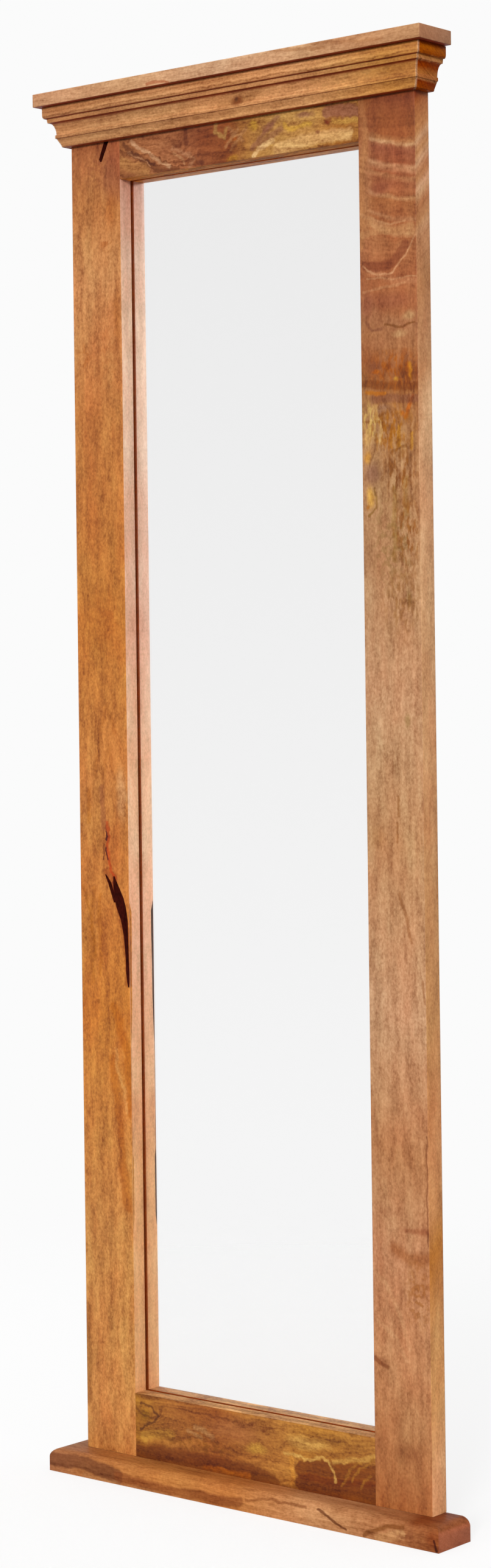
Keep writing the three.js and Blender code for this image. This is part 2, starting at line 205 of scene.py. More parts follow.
# %% Strokes and patches as node groups
stroke, given, result = new_group(
    "figure_stroke", "ShaderNodeTree",
    {"Place": VECTOR, "From": VECTOR, "To": VECTOR, "Half width": 2.0, "Soft": 2.0}, {"Mask": FLOAT})
run = add(stroke, "ShaderNodeVectorMath", (given["To"], given["From"]), operation="SUBTRACT")
here = add(stroke, "ShaderNodeVectorMath", (given["Place"], given["From"]), operation="SUBTRACT")
dots = [add(stroke, "ShaderNodeVectorMath", (other, run), operation="DOT_PRODUCT") for other in (here, run)]
share = add(stroke, "ShaderNodeMath", dots, operation="DIVIDE", use_clamp=True)
nearest = add(stroke, "ShaderNodeVectorMath", (run, share), operation="SCALE")
away = add(stroke, "ShaderNodeVectorMath", (here, nearest), operation="DISTANCE")
edge = add(stroke, "ShaderNodeMath", (given["Half width"], given["Soft"]), operation="ADD")
mask = add(stroke, "ShaderNodeMapRange", (away, edge, given["Half width"], 0.0, 1.0),
           interpolation_type="SMOOTHSTEP")
feed(stroke, result["Mask"], mask)

patch, given, result = new_group(
    "figure_patch", "ShaderNodeTree", {"Place": VECTOR, "Centre": VECTOR, "Reach": VECTOR, "Soft": 0.5},
    {"Mask": FLOAT})
here = add(patch, "ShaderNodeVectorMath", (given["Place"], given["Centre"]), operation="SUBTRACT")
scaled = add(patch, "ShaderNodeVectorMath", (here, given["Reach"]), operation="DIVIDE")
away = add(patch, "ShaderNodeVectorMath", (scaled,), operation="LENGTH")
edge = add(patch, "ShaderNodeMath", (1.0, given["Soft"]), operation="SUBTRACT")
mask = add(patch, "ShaderNodeMapRange", (away, 1.0, edge, 0.0, 1.0), interpolation_type="SMOOTHSTEP")
feed(patch, result["Mask"], mask)
print("stroke nodes", len(stroke.nodes), "- patch nodes", len(patch.nodes))

# %% Masks on a board's face


def oval(tree, face, centre, reach):
    """A soft oval on the board's face; reach is (half width, half height, softness)."""
    wide, tall, soft = (*reach, 0.8)[:3]
    return add(tree, "ShaderNodeGroup",
               {"Place": face, "Centre": (*centre, 0), "Reach": (wide, tall, 1), "Soft": soft},
               node_tree=patch)


def brush_line(tree, face, points, half_width, soft):
    """A soft line through several places on the board's face."""
    joined = None
    for start, stop in zip(points, points[1:]):
        part = add(tree, "ShaderNodeGroup",
                   {"Place": face, "From": (*start, 0), "To": (*stop, 0), "Half width": half_width,
                    "Soft": soft}, node_tree=stroke)
        joined = part if joined is None else add(tree, "ShaderNodeMath", (joined, part), operation="MAXIMUM")
    return joined


print("masks: ovals and brush lines")

# %% [markdown]
# ## Mango wood: tones
# Oil lies on the wood as a thin film, and its sheen adds a little light to every colour; a
# face that looks to the side gets less of the lamp. A colour is therefore given as it looks,
# and the film and the lamp's share are taken off again to get the wood's own colour.

# %% Tones along a board
FILM, SIDE_FILM = 0.011, 0.02  # what the oil film's sheen adds, on a front and on a side face
SIDE_LIGHT = 0.70  # the key lamp's light on a right-hand face, against a front face


def wood_colour(code, light=1.0):
    """The wood's own colour, where code is how it looks through the oil film in this light."""
    film = FILM if light == 1.0 else SIDE_FILM
    return (*(max(0.0, part - film) / light for part in linear(code)[:3]), 1)


def paint(ramp, stops):
    """Gives a colour ramp these stops, each (position, linear colour)."""
    elements = ramp.color_ramp.elements
    for element, (position, colour) in zip((elements[0], elements[-1]), (stops[0], stops[-1])):
        element.position, element.color = position, colour
    for position, colour in stops[1:-1]:
        elements.new(position).color = colour
    return ramp


def tone_ramp(tree, along, tones, light=1.0):
    """The colour of a board at a place along it; tones are (place in mm, colour)."""
    low, high = tones[0][0], tones[-1][0]
    share = add(tree, "ShaderNodeMapRange", (along, low, high, 0.0, 1.0))
    return paint(add(tree, "ShaderNodeValToRGB", (share,)),
                 [((at - low) / (high - low), wood_colour(code, light)) for at, code in tones])


print("full light on", wood_colour("c28146"))

# %% [markdown]
# ## Mango wood: one board's finish
# Five steps make a board's finish, and each is a function: where a point lies on the board,
# the growth layers, the brush work, the coats that belong to faces turned some other way, and
# the grain over everything. A side face was sawn across the growth layers and is plainer; it is
# also painted paler, as painted sheen and light on a face that looks to the right. An end shows
# cut fibres, which drink the oil and go dark. A face that looks down is painted a deep brown as shade.

# %% Where a point lies
STIR_SIZES = (30, 7)  # over how many mm the broad and the fine stirring change


def lay_out(tree, slant, stir):
    """The coordinates, a point's place in mm, its X, Y and Z, its height on the board, and its
    place on the board's face, X to the right and Y up, stirred as wood is."""
    coordinates = add(tree, "ShaderNodeTexCoord").outputs
    place = add(tree, "ShaderNodeVectorMath", (coordinates["Object"], 1 / MM), operation="SCALE")
    xyz = add(tree, "ShaderNodeSeparateXYZ", (place,)).outputs
    # Depth slants the height a little, so that bands run on diagonally over a side face.
    lifted = add(tree, "ShaderNodeMath", (xyz["Y"], slant, xyz["Z"]), operation="MULTIPLY_ADD")
    face = add(tree, "ShaderNodeCombineXYZ", (xyz["X"], lifted, 0.0))
    for reach, size in zip(stir, STIR_SIZES):
        flow = add(tree, "ShaderNodeVectorMath", (place, spots(size, size, size)), operation="MULTIPLY")
        noise = add(tree, "ShaderNodeTexNoise", {"Vector": flow, "Scale": 1.0, "Detail": 2.0})
        push = add(tree, "ShaderNodeVectorMath", (noise.outputs["Color"], (0.5,) * 3), operation="SUBTRACT")
        push = add(tree, "ShaderNodeVectorMath", (push, (4 * reach, 4 * reach, 0.0)), operation="MULTIPLY")
        face = add(tree, "ShaderNodeVectorMath", (face, push), operation="ADD")
    return coordinates, place, xyz, lifted, face


print("stirred over", STIR_SIZES, "mm")

# %% Growth layers
def growth_layers(tree, place, depth, face, grain, figure, across, period, sway, layers):
    """The layers' light and dark round 0, and how strongly they show."""
    width, length = sway[1:]
    slow = spots(*(length if axis == grain else width for axis in "XYZ"))
    flow = add(tree, "ShaderNodeVectorMath", (place, slow), operation="MULTIPLY")
    noise = add(tree, "ShaderNodeTexNoise",
                {"Vector": flow, "Scale": 1.0, "Detail": 3.0, "Roughness": 0.45})
    wander = add(tree, "ShaderNodeMath", (noise, 4 * sway[0]), operation="MULTIPLY")
    slope = add(tree, "ShaderNodeVectorMath", (face, (*across, 0)), operation="DOT_PRODUCT")
    field = add(tree, "ShaderNodeMath", (slope, wander), operation="ADD")
    field = add(tree, "ShaderNodeMath", (depth, 0.6, field), operation="MULTIPLY_ADD")
    weight, turned, fields = layers, None, []
    for kind, where, sizes, value, *_ in figure:  # strokes have a share too, which isn't needed here
        if kind == "knot":
            field = add(tree, "ShaderNodeMath", (oval(tree, face, where, sizes), value, field),
                        operation="MULTIPLY_ADD")
        elif kind == "turn":
            other = add(tree, "ShaderNodeVectorMath", (face, (*value, 0)), operation="DOT_PRODUCT")
            fields = [add(tree, "ShaderNodeMath", (wander, 0.5, other), operation="MULTIPLY_ADD")]
            turned = oval(tree, face, where, sizes)
        elif kind == "lively":
            weight = add(tree, "ShaderNodeMath", (oval(tree, face, where, sizes), value, weight),
                         operation="MULTIPLY_ADD")
    patterns = []
    for growth in [field, *fields]:
        rings = add(tree, "ShaderNodeMath", (growth, 1 / period), operation="MULTIPLY")
        patterns.append(add(tree, "ShaderNodeTexNoise", {"W": rings, "Scale": 1.0, "Detail": 4.0,
                                                         "Roughness": 0.6}, noise_dimensions="1D"))
    pattern = add(tree, "ShaderNodeMix", (turned, *patterns)) if fields else patterns[0]
    return add(tree, "ShaderNodeMath", (pattern, 0.5), operation="SUBTRACT"), weight


print("growth layers ready")

# %% Brush work
BROKEN = {
    # how wide and how long the marks are in mm, and the noise at which they begin and are full
    "blotch": ((9, 9), (0.46, 0.58)),
    "flecks": ((5, 15), (0.43, 0.6)),
}


def brush_work(tree, face, colour, along, grain, figure):
    """The colour with the figure's strokes, patches and bands laid over it in turn."""
    noises = {}
    for kind, where, sizes, code, *share in figure:
        if kind in ("stroke", "bands"):
            mask = brush_line(tree, face, where, *sizes)
        elif kind in ("patch", *BROKEN):
            mask = oval(tree, face, where, sizes)
        else:
            continue
        if kind in BROKEN:
            (wide, long), limits = BROKEN[kind]
            shift = (*where, 0) if kind == "flecks" else (0, 0, 0)
            if (kind, shift) not in noises:
                mark = spots(wide, long) if grain == "Z" else spots(long, wide)
                flow = add(tree, "ShaderNodeVectorMath", (face, (*mark, 0), shift), operation="MULTIPLY_ADD")
                noise = add(tree, "ShaderNodeTexNoise", {"Vector": flow, "Scale": 1.0, "Detail": 3.0})
                noises[kind, shift] = add(tree, "ShaderNodeMapRange", (noise, *limits, 0.0, 1.0),
                                          interpolation_type="SMOOTHSTEP")
            mask = add(tree, "ShaderNodeMath", (mask, noises[kind, shift]), operation="MULTIPLY")
        amount = add(tree, "ShaderNodeMath", (mask, *share), operation="MULTIPLY")
        over = tone_ramp(tree, along, code) if kind == "bands" else wood_colour(code)
        colour = add(tree, "ShaderNodeMix", (amount, colour, over), data_type="RGBA")
    return colour


print("broken marks:", ", ".join(BROKEN))

# %% Coats on other faces, and the grain over everything
SQUARELY = (0.75, 0.95)  # how squarely a face must look one way to begin, and to count, as turned
DOWNWARDS = (-0.6, -0.9)  # the same for a face that looks down
END_SHARE = 0.85
MITRE_GLINT_EDGE = (2.4, 0.8, 0.0, 0.6)  # the painted highlight along the mitre: from and to how far off it in mm, and how much
PORE_DEPTH = 0.12
CLOUD_LENGTH, CLOUD_WIDTH = 110, 38  # the blush's clouds, along and across the grain, in mm
SHADES = [(0.1, (0.42, 0.26, 0.14, 1)), (0.5, (1, 1, 1, 1)), (0.9, (1.50, 1.72, 1.95, 1))]
BLUSHES = [(0.3, (1.0, 0.78, 0.7, 1)), (0.7, (1.0, 1.2, 1.25, 1))]


def coat_faces(tree, colour, coats):
    """Mixes each coat in where a face is turned its way: (turn, limits, share, colour)."""
    for turn, limits, share, coat in coats:
        if coat is not None:
            mask = add(tree, "ShaderNodeMapRange", (turn, *limits, 0.0, share))
            colour = add(tree, "ShaderNodeMix", (mask, colour, coat), data_type="RGBA")
    return colour


def rub_corner(tree, colour, xyz, mitre_glint):
    """Paints a highlight: a pale line along the mitre, where |X| + Y is the given value, stands in for the
    light that the eased arris catches.
    """
    off = add(tree, "ShaderNodeMath", (xyz["X"],), operation="ABSOLUTE")
    off = add(tree, "ShaderNodeMath", (off, xyz["Y"]), operation="ADD")
    off = add(tree, "ShaderNodeMath", (off, mitre_glint), operation="SUBTRACT")
    off = add(tree, "ShaderNodeMath", (off,), operation="ABSOLUTE")
    glint = add(tree, "ShaderNodeMapRange", (off, *MITRE_GLINT_EDGE))
    return add(tree, "ShaderNodeMix", (glint, colour, wood_colour("e2b48e")), data_type="RGBA")


def over_grain(tree, place, xyz, colour, grain, layered, calm, fibre, mottle, blush):
    """The colour with layers, fibres, blush and pores in it, and the fibres' own node."""
    order = {"X": "ZYX", "Y": "XZY", "Z": "XYZ"}[grain]  # the fibres want Z along the grain
    grained = add(tree, "ShaderNodeCombineXYZ", [xyz[axis] for axis in order])
    threads = add(tree, "ShaderNodeGroup", {"Place": grained, "Fibre": fibre, "Mottle": mottle},
                  node_tree=fibres).outputs
    tone = add(tree, "ShaderNodeMath", (*layered, threads["Tone"]), operation="MULTIPLY_ADD")
    calmed = add(tree, "ShaderNodeMapRange", calm)
    tone = add(tree, "ShaderNodeMath", (tone, calmed, 0.5), operation="MULTIPLY_ADD")
    # Low tones multiply the colour down towards red-brown and high ones lift it.
    tone = paint(add(tree, "ShaderNodeValToRGB", (tone,)), SHADES)
    colour = add(tree, "ShaderNodeMix", (1.0, colour, tone), data_type="RGBA", blend_type="MULTIPLY")
    # A slow blush of redder and yellower wood comes in clouds.
    cloud = spots(*(CLOUD_LENGTH if axis == grain else CLOUD_WIDTH for axis in "XYZ"))
    flow = add(tree, "ShaderNodeVectorMath", (place, cloud), operation="MULTIPLY")
    noise = add(tree, "ShaderNodeTexNoise", {"Vector": flow, "Scale": 1.0, "Detail": 4.0, "Roughness": 0.6})
    warmth = paint(add(tree, "ShaderNodeValToRGB", (noise,)), BLUSHES)
    colour = add(tree, "ShaderNodeMix", (blush, colour, warmth), data_type="RGBA", blend_type="MULTIPLY")
    dark = add(tree, "ShaderNodeMath", (threads["Pores"], PORE_DEPTH), operation="MULTIPLY")
    return add(tree, "ShaderNodeMix", (dark, colour, linear("6a3412")), data_type="RGBA"), threads["Height"]


print("coats count on faces turned from", SQUARELY[0], "on")

# %% [markdown]
# Oil leaves a satin surface: roughness about 0.5, a little more in the pores, and a weaker
# gloss than bare varnish has. The film's sheen is lower still on pieces that see the floor.

# %% The function that makes a board's material
SMOOTHEST, ROUGHEST = 0.45, 0.62


def mango(name, grain, tones, figure=(), side=None, flat=None, under=None, end="6e4026", stir=(5.0, 1.5),
          slant=0.0, bend=None, mitre_glint=0.0, by_height=False, across=(1.0, 0.0), period=14.0,
          sway=(10.0, 40, 260), layers=0.6, fibre=0.5, mottle=0.6, blush=0.3, shine=0.25):
    """Oiled mango wood. grain is the axis the fibres follow; tones are (place in mm, colour)
    along it, or up it if by_height; figure is a list of brush strokes. side is (tones, share,
    calm) for the side faces; flat, under and end are the colours of level faces, of those that
    look down and of the ends. stir is how far the figure is stirred, broadly and finely. across
    is the way the growth layers follow each other on the face, period their thickness, and sway
    how far, over what width and over what length they wander, all in mm. bend is (middle, rise
    in mm for each square mm off it): it curves the tones' bands like a hammock."""
    material, tree = new_material(name)
    coordinates, place, xyz, lifted, face = lay_out(tree, slant, stir)
    layered = growth_layers(tree, place, xyz["Y"], face, grain, figure, across, period, sway, layers)
    on_face = add(tree, "ShaderNodeSeparateXYZ", (face,)).outputs
    along = {"X": on_face["X"], "Y": xyz["Y"], "Z": on_face["Y"]}["Z" if by_height else grain]
    if bend:
        off = add(tree, "ShaderNodeMath", (on_face["X"], bend[0]), operation="SUBTRACT")
        off = add(tree, "ShaderNodeMath", (off, off), operation="MULTIPLY")
        along = add(tree, "ShaderNodeMath", (off, -bend[1], along), operation="MULTIPLY_ADD")
    colour = tone_ramp(tree, along, tones, SIDE_LIGHT if by_height else 1.0)
    colour = brush_work(tree, face, colour, along, grain, figure)

    normal = coordinates["Normal"]
    looks = add(tree, "ShaderNodeSeparateXYZ", (normal,)).outputs
    facing = add(tree, "ShaderNodeVectorMath", (normal,), operation="ABSOLUTE")
    facing = add(tree, "ShaderNodeSeparateXYZ", (facing,)).outputs
    side_tones, side_share, side_calm = side or (None, 0.0, 0.6)
    colour = coat_faces(tree, colour, [
        # painted shade: faces that look down take the under colour, a deep brown
        (looks["Z"], DOWNWARDS, 1.0, wood_colour(under) if under else None),
        (facing["Z"], SQUARELY, 1.0, wood_colour(flat) if flat else None),
        (facing["X"], SQUARELY, side_share,
         tone_ramp(tree, lifted, side_tones, SIDE_LIGHT) if side else None),
        (facing[grain], SQUARELY, END_SHARE, wood_colour(end, SIDE_LIGHT if grain == "X" else 1.0)),
    ])
    # painted highlight: a pale line along the mitre stands in for the light that its eased arris catches
    if mitre_glint:
        colour = rub_corner(tree, colour, xyz, mitre_glint)
    calm = (facing["X"], *SQUARELY, 1.0, side_calm)
    colour, height = over_grain(tree, place, xyz, colour, grain, layered, calm, fibre, mottle, blush)

    gloss = add(tree, "ShaderNodeMapRange", (height, 0.2, 0.8, ROUGHEST, SMOOTHEST))
    bump = add(tree, "ShaderNodeBump", {"Height": height, "Strength": 0.2, "Distance": 0.1 * MM})
    surface = add(tree, "ShaderNodeBsdfPrincipled", {
        "Base Color": colour, "Roughness": gloss, "Normal": bump, "IOR": 1.5, "Specular IOR Level": shine})
    add(tree, "ShaderNodeOutputMaterial", (surface,))
    print(name, len(tree.nodes), "nodes")
    return material


# %% [markdown]
# ## The left upright's wood
# A golden orange board with fine straight grain. A shake, which is a crack that opened while
# the tree stood, runs down to the inner edge at knee height, with gum streaks below it and
# a small arched figure above.

# %% Left upright
golden = mango(
    "oiled_mango_golden", "Z",
    # the last stops darken the head of the board under the crown: painted shade
    [(0, "b0703a"), (110, "c28146"), (330, "bf7f44"), (600, "c17634"), (900, "c07a40"),
     (1100, "c07837"), (1380, "bd773f"), (1550, "c88652"), (1650, "bc7944"), (1731, "9f5b36")],
    figure=[
        ("knot", (-229, 950), (30, 66), 20), ("knot", (-212, 700), (30, 70), -9),
        ("knot", (-252, 1290), (26, 60), 7), ("knot", (-222, 380), (30, 90), -8),
        ("lively", (-229, 950), (40, 90), 0.5),
        ("stroke", [(-205, 350), (-214, 440), (-226, 540)], (3, 7), "a4560f", 0.6),
        ("stroke", [(-196, 470), (-201, 545), (-222, 610)], (3.5, 7), "a8580f", 0.65),
        ("stroke", [(-203, 470), (-222, 556)], (0.8, 3), "d29654", 0.5),
        ("stroke", [(-262, 640), (-258, 760)], (1, 5), "a25a1a", 0.4),
        ("stroke", [(-247, 650), (-246, 750)], (1, 4), "a25a1a", 0.45),
        ("blotch", (-252, 700), (20, 70), "a8602a", 0.5),
        ("patch", (-248, 615), (4, 4), "7c4016", 0.6),
        ("patch", (-222, 815), (26, 62), "b55c2c", 0.5),
        ("patch", (-206, 885), (13, 46), "d6a470", 0.55),
        ("stroke", [(-197, 640), (-202, 700), (-212, 745), (-233, 782)], (4, 5), "8a3c16", 0.6),
        ("stroke", [(-214, 748), (-221, 780)], (3, 4), "8a3c16", 0.5),
        ("stroke", [(-232, 846), (-230, 823), (-228, 803), (-225, 785), (-219, 772)], (1.4, 2.6),
         "a83a10", 0.75),
        ("stroke", [(-224, 768), (-220, 752)], (1.5, 2), "7c3010", 0.8),
        ("stroke", [(-233.3, 834), (-232.8, 823)], (1, 1.2), "4c0c04", 0.95),
        ("stroke", [(-237, 818), (-236.8, 800)], (0.4, 1), "5a1c0a", 0.85),
        ("stroke", [(-231.3, 813), (-230, 801)], (0.9, 1.2), "4c0c04", 0.9),
        ("stroke", [(-240, 890), (-239.5, 862), (-237, 838)], (2, 5), "8c4a30", 0.6),
        ("stroke", [(-263, 890), (-265, 846)], (1, 4), "a05816", 0.5),
        ("stroke", [(-276, 768), (-264, 732), (-259, 699), (-256, 672)], (0.7, 2.5), "a05a18", 0.5),
        ("stroke", [(-252, 905), (-240, 975), (-229, 1000), (-216, 965)], (1, 4), "9c5624", 0.45),
        ("stroke", [(-240, 905), (-229, 950), (-222, 915)], (1, 3), "9c5624", 0.4),
        ("patch", (-238, 1110), (46, 70), "b06029", 0.4),
        ("blotch", (-230, 1110), (40, 60), "9c4e22", 0.35),
        ("blotch", (-222, 1450), (30, 80), "ad6030", 0.35),
        ("patch", (-206, 1690), (34, 60), "8a4534", 0.5),
        ("blotch", (-236, 1698), (40, 36), "8c4a30", 0.5),
        ("patch", (-211, 1641), (18, 35), "a2561f", 0.45),
        ("blotch", (-221, 1598), (16, 14), "9c5020", 0.6),
        ("patch", (-202, 1505), (11, 64), "a1581f", 0.5),
        ("blotch", (-264, 1457), (20, 34), "a85c24", 0.5),
        ("stroke", [(-279, 90), (-277, 210)], (2, 8), "84481e", 0.55),
    ],
    # the side tones are partly the sawn face's paler wood and partly painted sheen and light on the inner
    # face, which looks to the right
    side=([(60, "c68e60"), (150, "ca9265"), (400, "d09a6d"), (700, "d5a081"), (900, "dbaf8b"),
           (1100, "ce9f86"), (1300, "d2ad94"), (1500, "d9b599"), (1650, "c49782")], 0.9, 0.5),
    stir=(4.0, 1.5), layers=0.5, fibre=0.15, mottle=0.75, blush=0.6,
)

# %% [markdown]
# ## The right upright's wood
# This board was cut near a fork. Its foot is plain reddish brown, its middle a greyed tan
# with olive smudges, then comes ochre spalting, where fungus coloured the log. Its head is
# red-brown and curly: the fibres lie in waves, and each wave is a light or a dark band.

# %% Right upright
red_growth = [
    ("turn", (240, 1625), (120, 175, 0.35), (0.12, 1.0)),
    ("knot", (226, 1528), (34, 26), 12), ("knot", (238, 1655), (50, 40), -14),
    ("knot", (206, 1270), (22, 46), 14), ("knot", (236, 1378), (40, 40), 16),
    ("knot", (244, 90), (40, 50), 9), ("knot", (258, 300), (26, 60), 8),
    ("lively", (240, 1600), (120, 240), 0.3), ("lively", (236, 1300), (80, 110), 0.5),
]
red_foot_figure = [
    ("patch", (240, 100), (26, 18), "84492a", 0.5),
    ("stroke", [(196, 208), (204, 203), (216, 199)], (1.2, 3), "72381c", 0.7),
    ("patch", (207, 204), (16, 9), "8c5030", 0.45),
    ("stroke", [(228, 342), (252, 331), (282, 338)], (2.5, 11), "8e4c22", 0.62),
    ("blotch", (264, 290), (30, 58), "92541e", 0.6),
    ("patch", (266, 308), (30, 34), "98592c", 0.35),
    ("stroke", [(247, 365), (281, 368)], (1, 4.5), "8e4a2c", 0.6),
    ("patch", (218, 386), (22, 9), "9a5c3c", 0.4),
    ("stroke", [(278.4, 480), (278.2, 352)], (0.4, 1.4), "6e3814", 0.6),
    ("stroke", [(196, 314), (216, 299), (234, 265), (250, 224)], (1, 4), "c8966a", 0.4),
    ("stroke", [(201, 253), (229, 235), (245, 208)], (1, 4), "c8966a", 0.35),
    ("stroke", [(242.5, 886), (243, 864)], (0.6, 2), "8c5426", 0.6),
    ("stroke", [(240, 855), (240.5, 832)], (0.6, 2), "8c5426", 0.6),
    ("patch", (211, 836), (17, 22), "9c6434", 0.35),
    ("stroke", [(242, 771), (254, 736), (260, 713)], (0.8, 3), "91562a", 0.55),
    ("stroke", [(275, 667), (278.4, 640)], (0.8, 2), "8a4e24", 0.5),
    ("patch", (258, 978), (6, 14), "80622e", 0.5),
    ("patch", (262, 1125), (7, 16), "80622e", 0.5),
    ("blotch", (240, 1190), (50, 80), "80612f", 0.45),
    ("stroke", [(260, 1268), (260, 1225)], (2, 4), "8c642a", 0.5),
    ("stroke", [(243, 1256), (242, 1170)], (1.5, 4), "8c642a", 0.5),
    ("patch", (206, 1246), (9, 19), "d9a34c", 0.85),
    ("patch", (202, 1235), (4, 5), "a8641c", 0.8),
    ("stroke", [(213, 1258), (215, 1234), (204, 1224)], (0.6, 1.5), "845a1c", 0.65),
    ("patch", (211, 1276), (19, 20), "865644", 0.65),
    ("stroke", [(270, 1298), (256, 1273)], (1.5, 3.5), "845430", 0.6),
    ("stroke", [(238, 1290), (234, 1272)], (1.5, 3.5), "845430", 0.55),
    ("patch", (203, 1295), (8, 11), "cb8c3a", 0.8),
    ("stroke", [(242, 1303), (261, 1307)], (0.6, 2.6), "744218", 0.65),
    ("patch", (203, 1317), (11, 17), "d6a466", 0.85),
    ("stroke", [(219, 1357), (219, 1341), (225, 1338), (224, 1312)], (1.2, 2.5), "d0a064", 0.75),
    ("patch", (237, 1331), (12, 6), "744020", 0.65),
    ("stroke", [(250, 1329), (250, 1308)], (1.0, 3.2), "cf8f2c", 0.8),
    ("stroke", [(239, 1322), (239, 1307)], (0.6, 2.8), "a86a18", 0.75),
    ("stroke", [(270, 1322), (269, 1303)], (0.8, 3), "b87c28", 0.75),
    ("stroke", [(200, 1338), (222, 1336)], (0.8, 1.8), "84481c", 0.6),
    ("patch", (226, 1353), (15, 9), "a67c60", 0.6),
    ("stroke", [(273, 1366), (260, 1341)], (0.8, 3.4), "b85e1c", 0.85),
    ("patch", (256, 1346), (5, 6), "bd641a", 0.8),
    ("stroke", [(212, 1366), (278, 1363)], (3, 4), "83503a", 0.6),
    ("stroke", [(203, 1374), (231, 1371)], (0.8, 3), "b86c1e", 0.8),
    ("stroke", [(200, 1384), (243, 1379), (284, 1379)], (2.5, 4), "783e18", 0.7),
    ("patch", (247, 1387), (5, 4), "c48c34", 0.85),
    ("patch", (262, 1397), (24, 17), "82441a", 0.65),
    ("stroke", [(268, 1404), (268, 1389)], (0.8, 3.6), "c07a24", 0.8),
    ("patch", (216, 1402), (17, 13), "774430", 0.5),
    ("patch", (216, 1397), (8, 4), "b5621a", 0.85),
    ("flecks", (244, 1400), (56, 38), "a05410", 0.8),
    ("flecks", (264, 1376), (26, 46), "6c340c", 0.7),
    ("flecks", (236, 1328), (54, 44), "a0600c", 0.9),
    ("flecks", (206, 1338), (22, 34), "d6aa5e", 0.7),
    ("flecks", (252, 1276), (44, 52), "864c0c", 0.8),
    ("flecks", (262, 1204), (32, 78), "8c5010", 0.8),
    ("flecks", (252, 1120), (44, 70), "8a541c", 0.55),
]
curls = [
    (1496, "a6643e"), (1504, "b4754e"), (1509, "a05e3a"), (1546, "a96a42"), (1553, "a3603a"),
    (1558, "be8658"), (1565, "b0744a"), (1571, "a15e38"), (1576, "b3774f"), (1580, "a3613b"),
    (1597, "a6643b"), (1601, "bb8256"), (1605, "a3603b"), (1619, "9f5d3c"), (1625, "af734b"),
    (1629, "9c5938"), (1638, "bd845c"), (1643, "985536"), (1658, "955338"), (1662, "a86846"),
    (1665, "c99568"), (1669, "b07448"), (1676, "9b5732"), (1694, "91502e"), (1722, "83432a"),
    (1731, "84401f"),
]
red_head_figure = [
    ("bands", [(254, 1506), (254, 1780)], (36, 15), curls, 1.0),
    ("patch", (226, 1618), (27, 12), "8e4c36", 0.6),
    ("patch", (217, 1700), (16, 34), "84432a", 0.4),
    ("stroke", [(196, 1731), (206, 1684), (198, 1640), (197, 1550)], (2, 6), "b8794a", 0.55),
    ("stroke", [(218, 1580), (236, 1574), (262, 1576)], (0.5, 1.4), "c28a5e", 0.6),
    ("stroke", [(198, 1590), (229, 1572)], (1, 3), "bd8458", 0.5),
    ("stroke", [(198, 1564), (236, 1566), (272, 1569)], (2.5, 3), "c08858", 0.5),
    ("stroke", [(204, 1528), (222, 1523), (243, 1527), (264, 1547)], (4, 4), "7e3f28", 0.7),
    ("stroke", [(200, 1527), (222, 1513), (243, 1516), (265, 1536), (279, 1558)], (0.5, 1.3), "c48c62", 0.7),
    ("stroke", [(206, 1512), (246, 1508), (284, 1509)], (0.4, 1.2), "c08a60", 0.6),
    ("stroke", [(200, 1494), (228, 1499), (262, 1502)], (0.6, 2), "bd855a", 0.5),
    ("patch", (240, 1481), (48, 17), "8c4c34", 0.6),
    ("patch", (205, 1478), (14, 22), "8c4c38", 0.45),
    ("stroke", [(202, 1460), (212, 1450), (227, 1450)], (0.6, 2.5), "7a4430", 0.6),
    ("stroke", [(232, 1454), (257, 1450), (276, 1452)], (0.5, 1.8), "74401c", 0.7),
    ("patch", (268, 1461), (15, 8), "bd9060", 0.6),
    ("patch", (254, 1442), (16, 7), "bd8f60", 0.6),
    ("patch", (222, 1434), (30, 12), "a86c48", 0.4),
]
red_board = dict(
    grain="Z",
    tones=[(0, "9c5c32"), (90, "a86e44"), (160, "b57c52"), (320, "b9805a"), (450, "b27a50"), (620, "c2906a"),
           (820, "bb895e"), (1000, "c19069"), (1150, "b8875f"), (1270, "b28258"), (1330, "a8754a"),
           (1375, "9e6438"), (1395, "9a5c36"), (1425, "a66c44"), (1448, "a46a46"), (1490, "a6653f"),
           (1530, "b07048"), (1560, "b4774a"), (1620, "b0724a"), (1680, "9f5d36"), (1731, "9a5832")],
    # the side tones are partly paler sawn wood and partly painted sheen and light on this right-hand face
    side=([(60, "c79268"), (150, "c18c59"), (250, "ba8352"), (325, "a6682f"), (350, "b0743e"),
           (380, "bc8455"), (450, "bf8559"), (600, "b68152"), (800, "b9855a"), (1000, "c39268"),
           (1200, "cc9b72"), (1350, "cf9f76"), (1385, "c08a60"), (1430, "bd8860"),
           (1490, "b07951"), (1546, "b37d58"), (1557, "c08c66"), (1568, "b37b52"), (1588, "b0724c"),
           (1600, "c4926a"), (1607, "cd9a75"), (1620, "b77d53"), (1631, "b67a54"), (1640, "c89873"),
           (1650, "ba8457"), (1657, "b57d52"), (1665, "c69570"), (1675, "b57b4e"), (1700, "aa6a42"),
           # the last stops darken the side face under the crown's return: painted shade
           (1712, "9a5834"), (1722, "84401a"), (1731, "7a3308")], 0.85, 0.8),
    slant=-0.9, stir=(2.0, 0.8), bend=(285, 0.003), period=8, layers=0.3, fibre=0.15, mottle=0.65, blush=0.5,
)
SEAM = 1425 * MM  # one tree of nodes holds only so many strokes, so the board is painted in two
red = mango("oiled_mango_red", figure=red_growth + red_foot_figure, **red_board)
red_head = mango("oiled_mango_red_head", figure=red_growth + red_head_figure, **red_board)
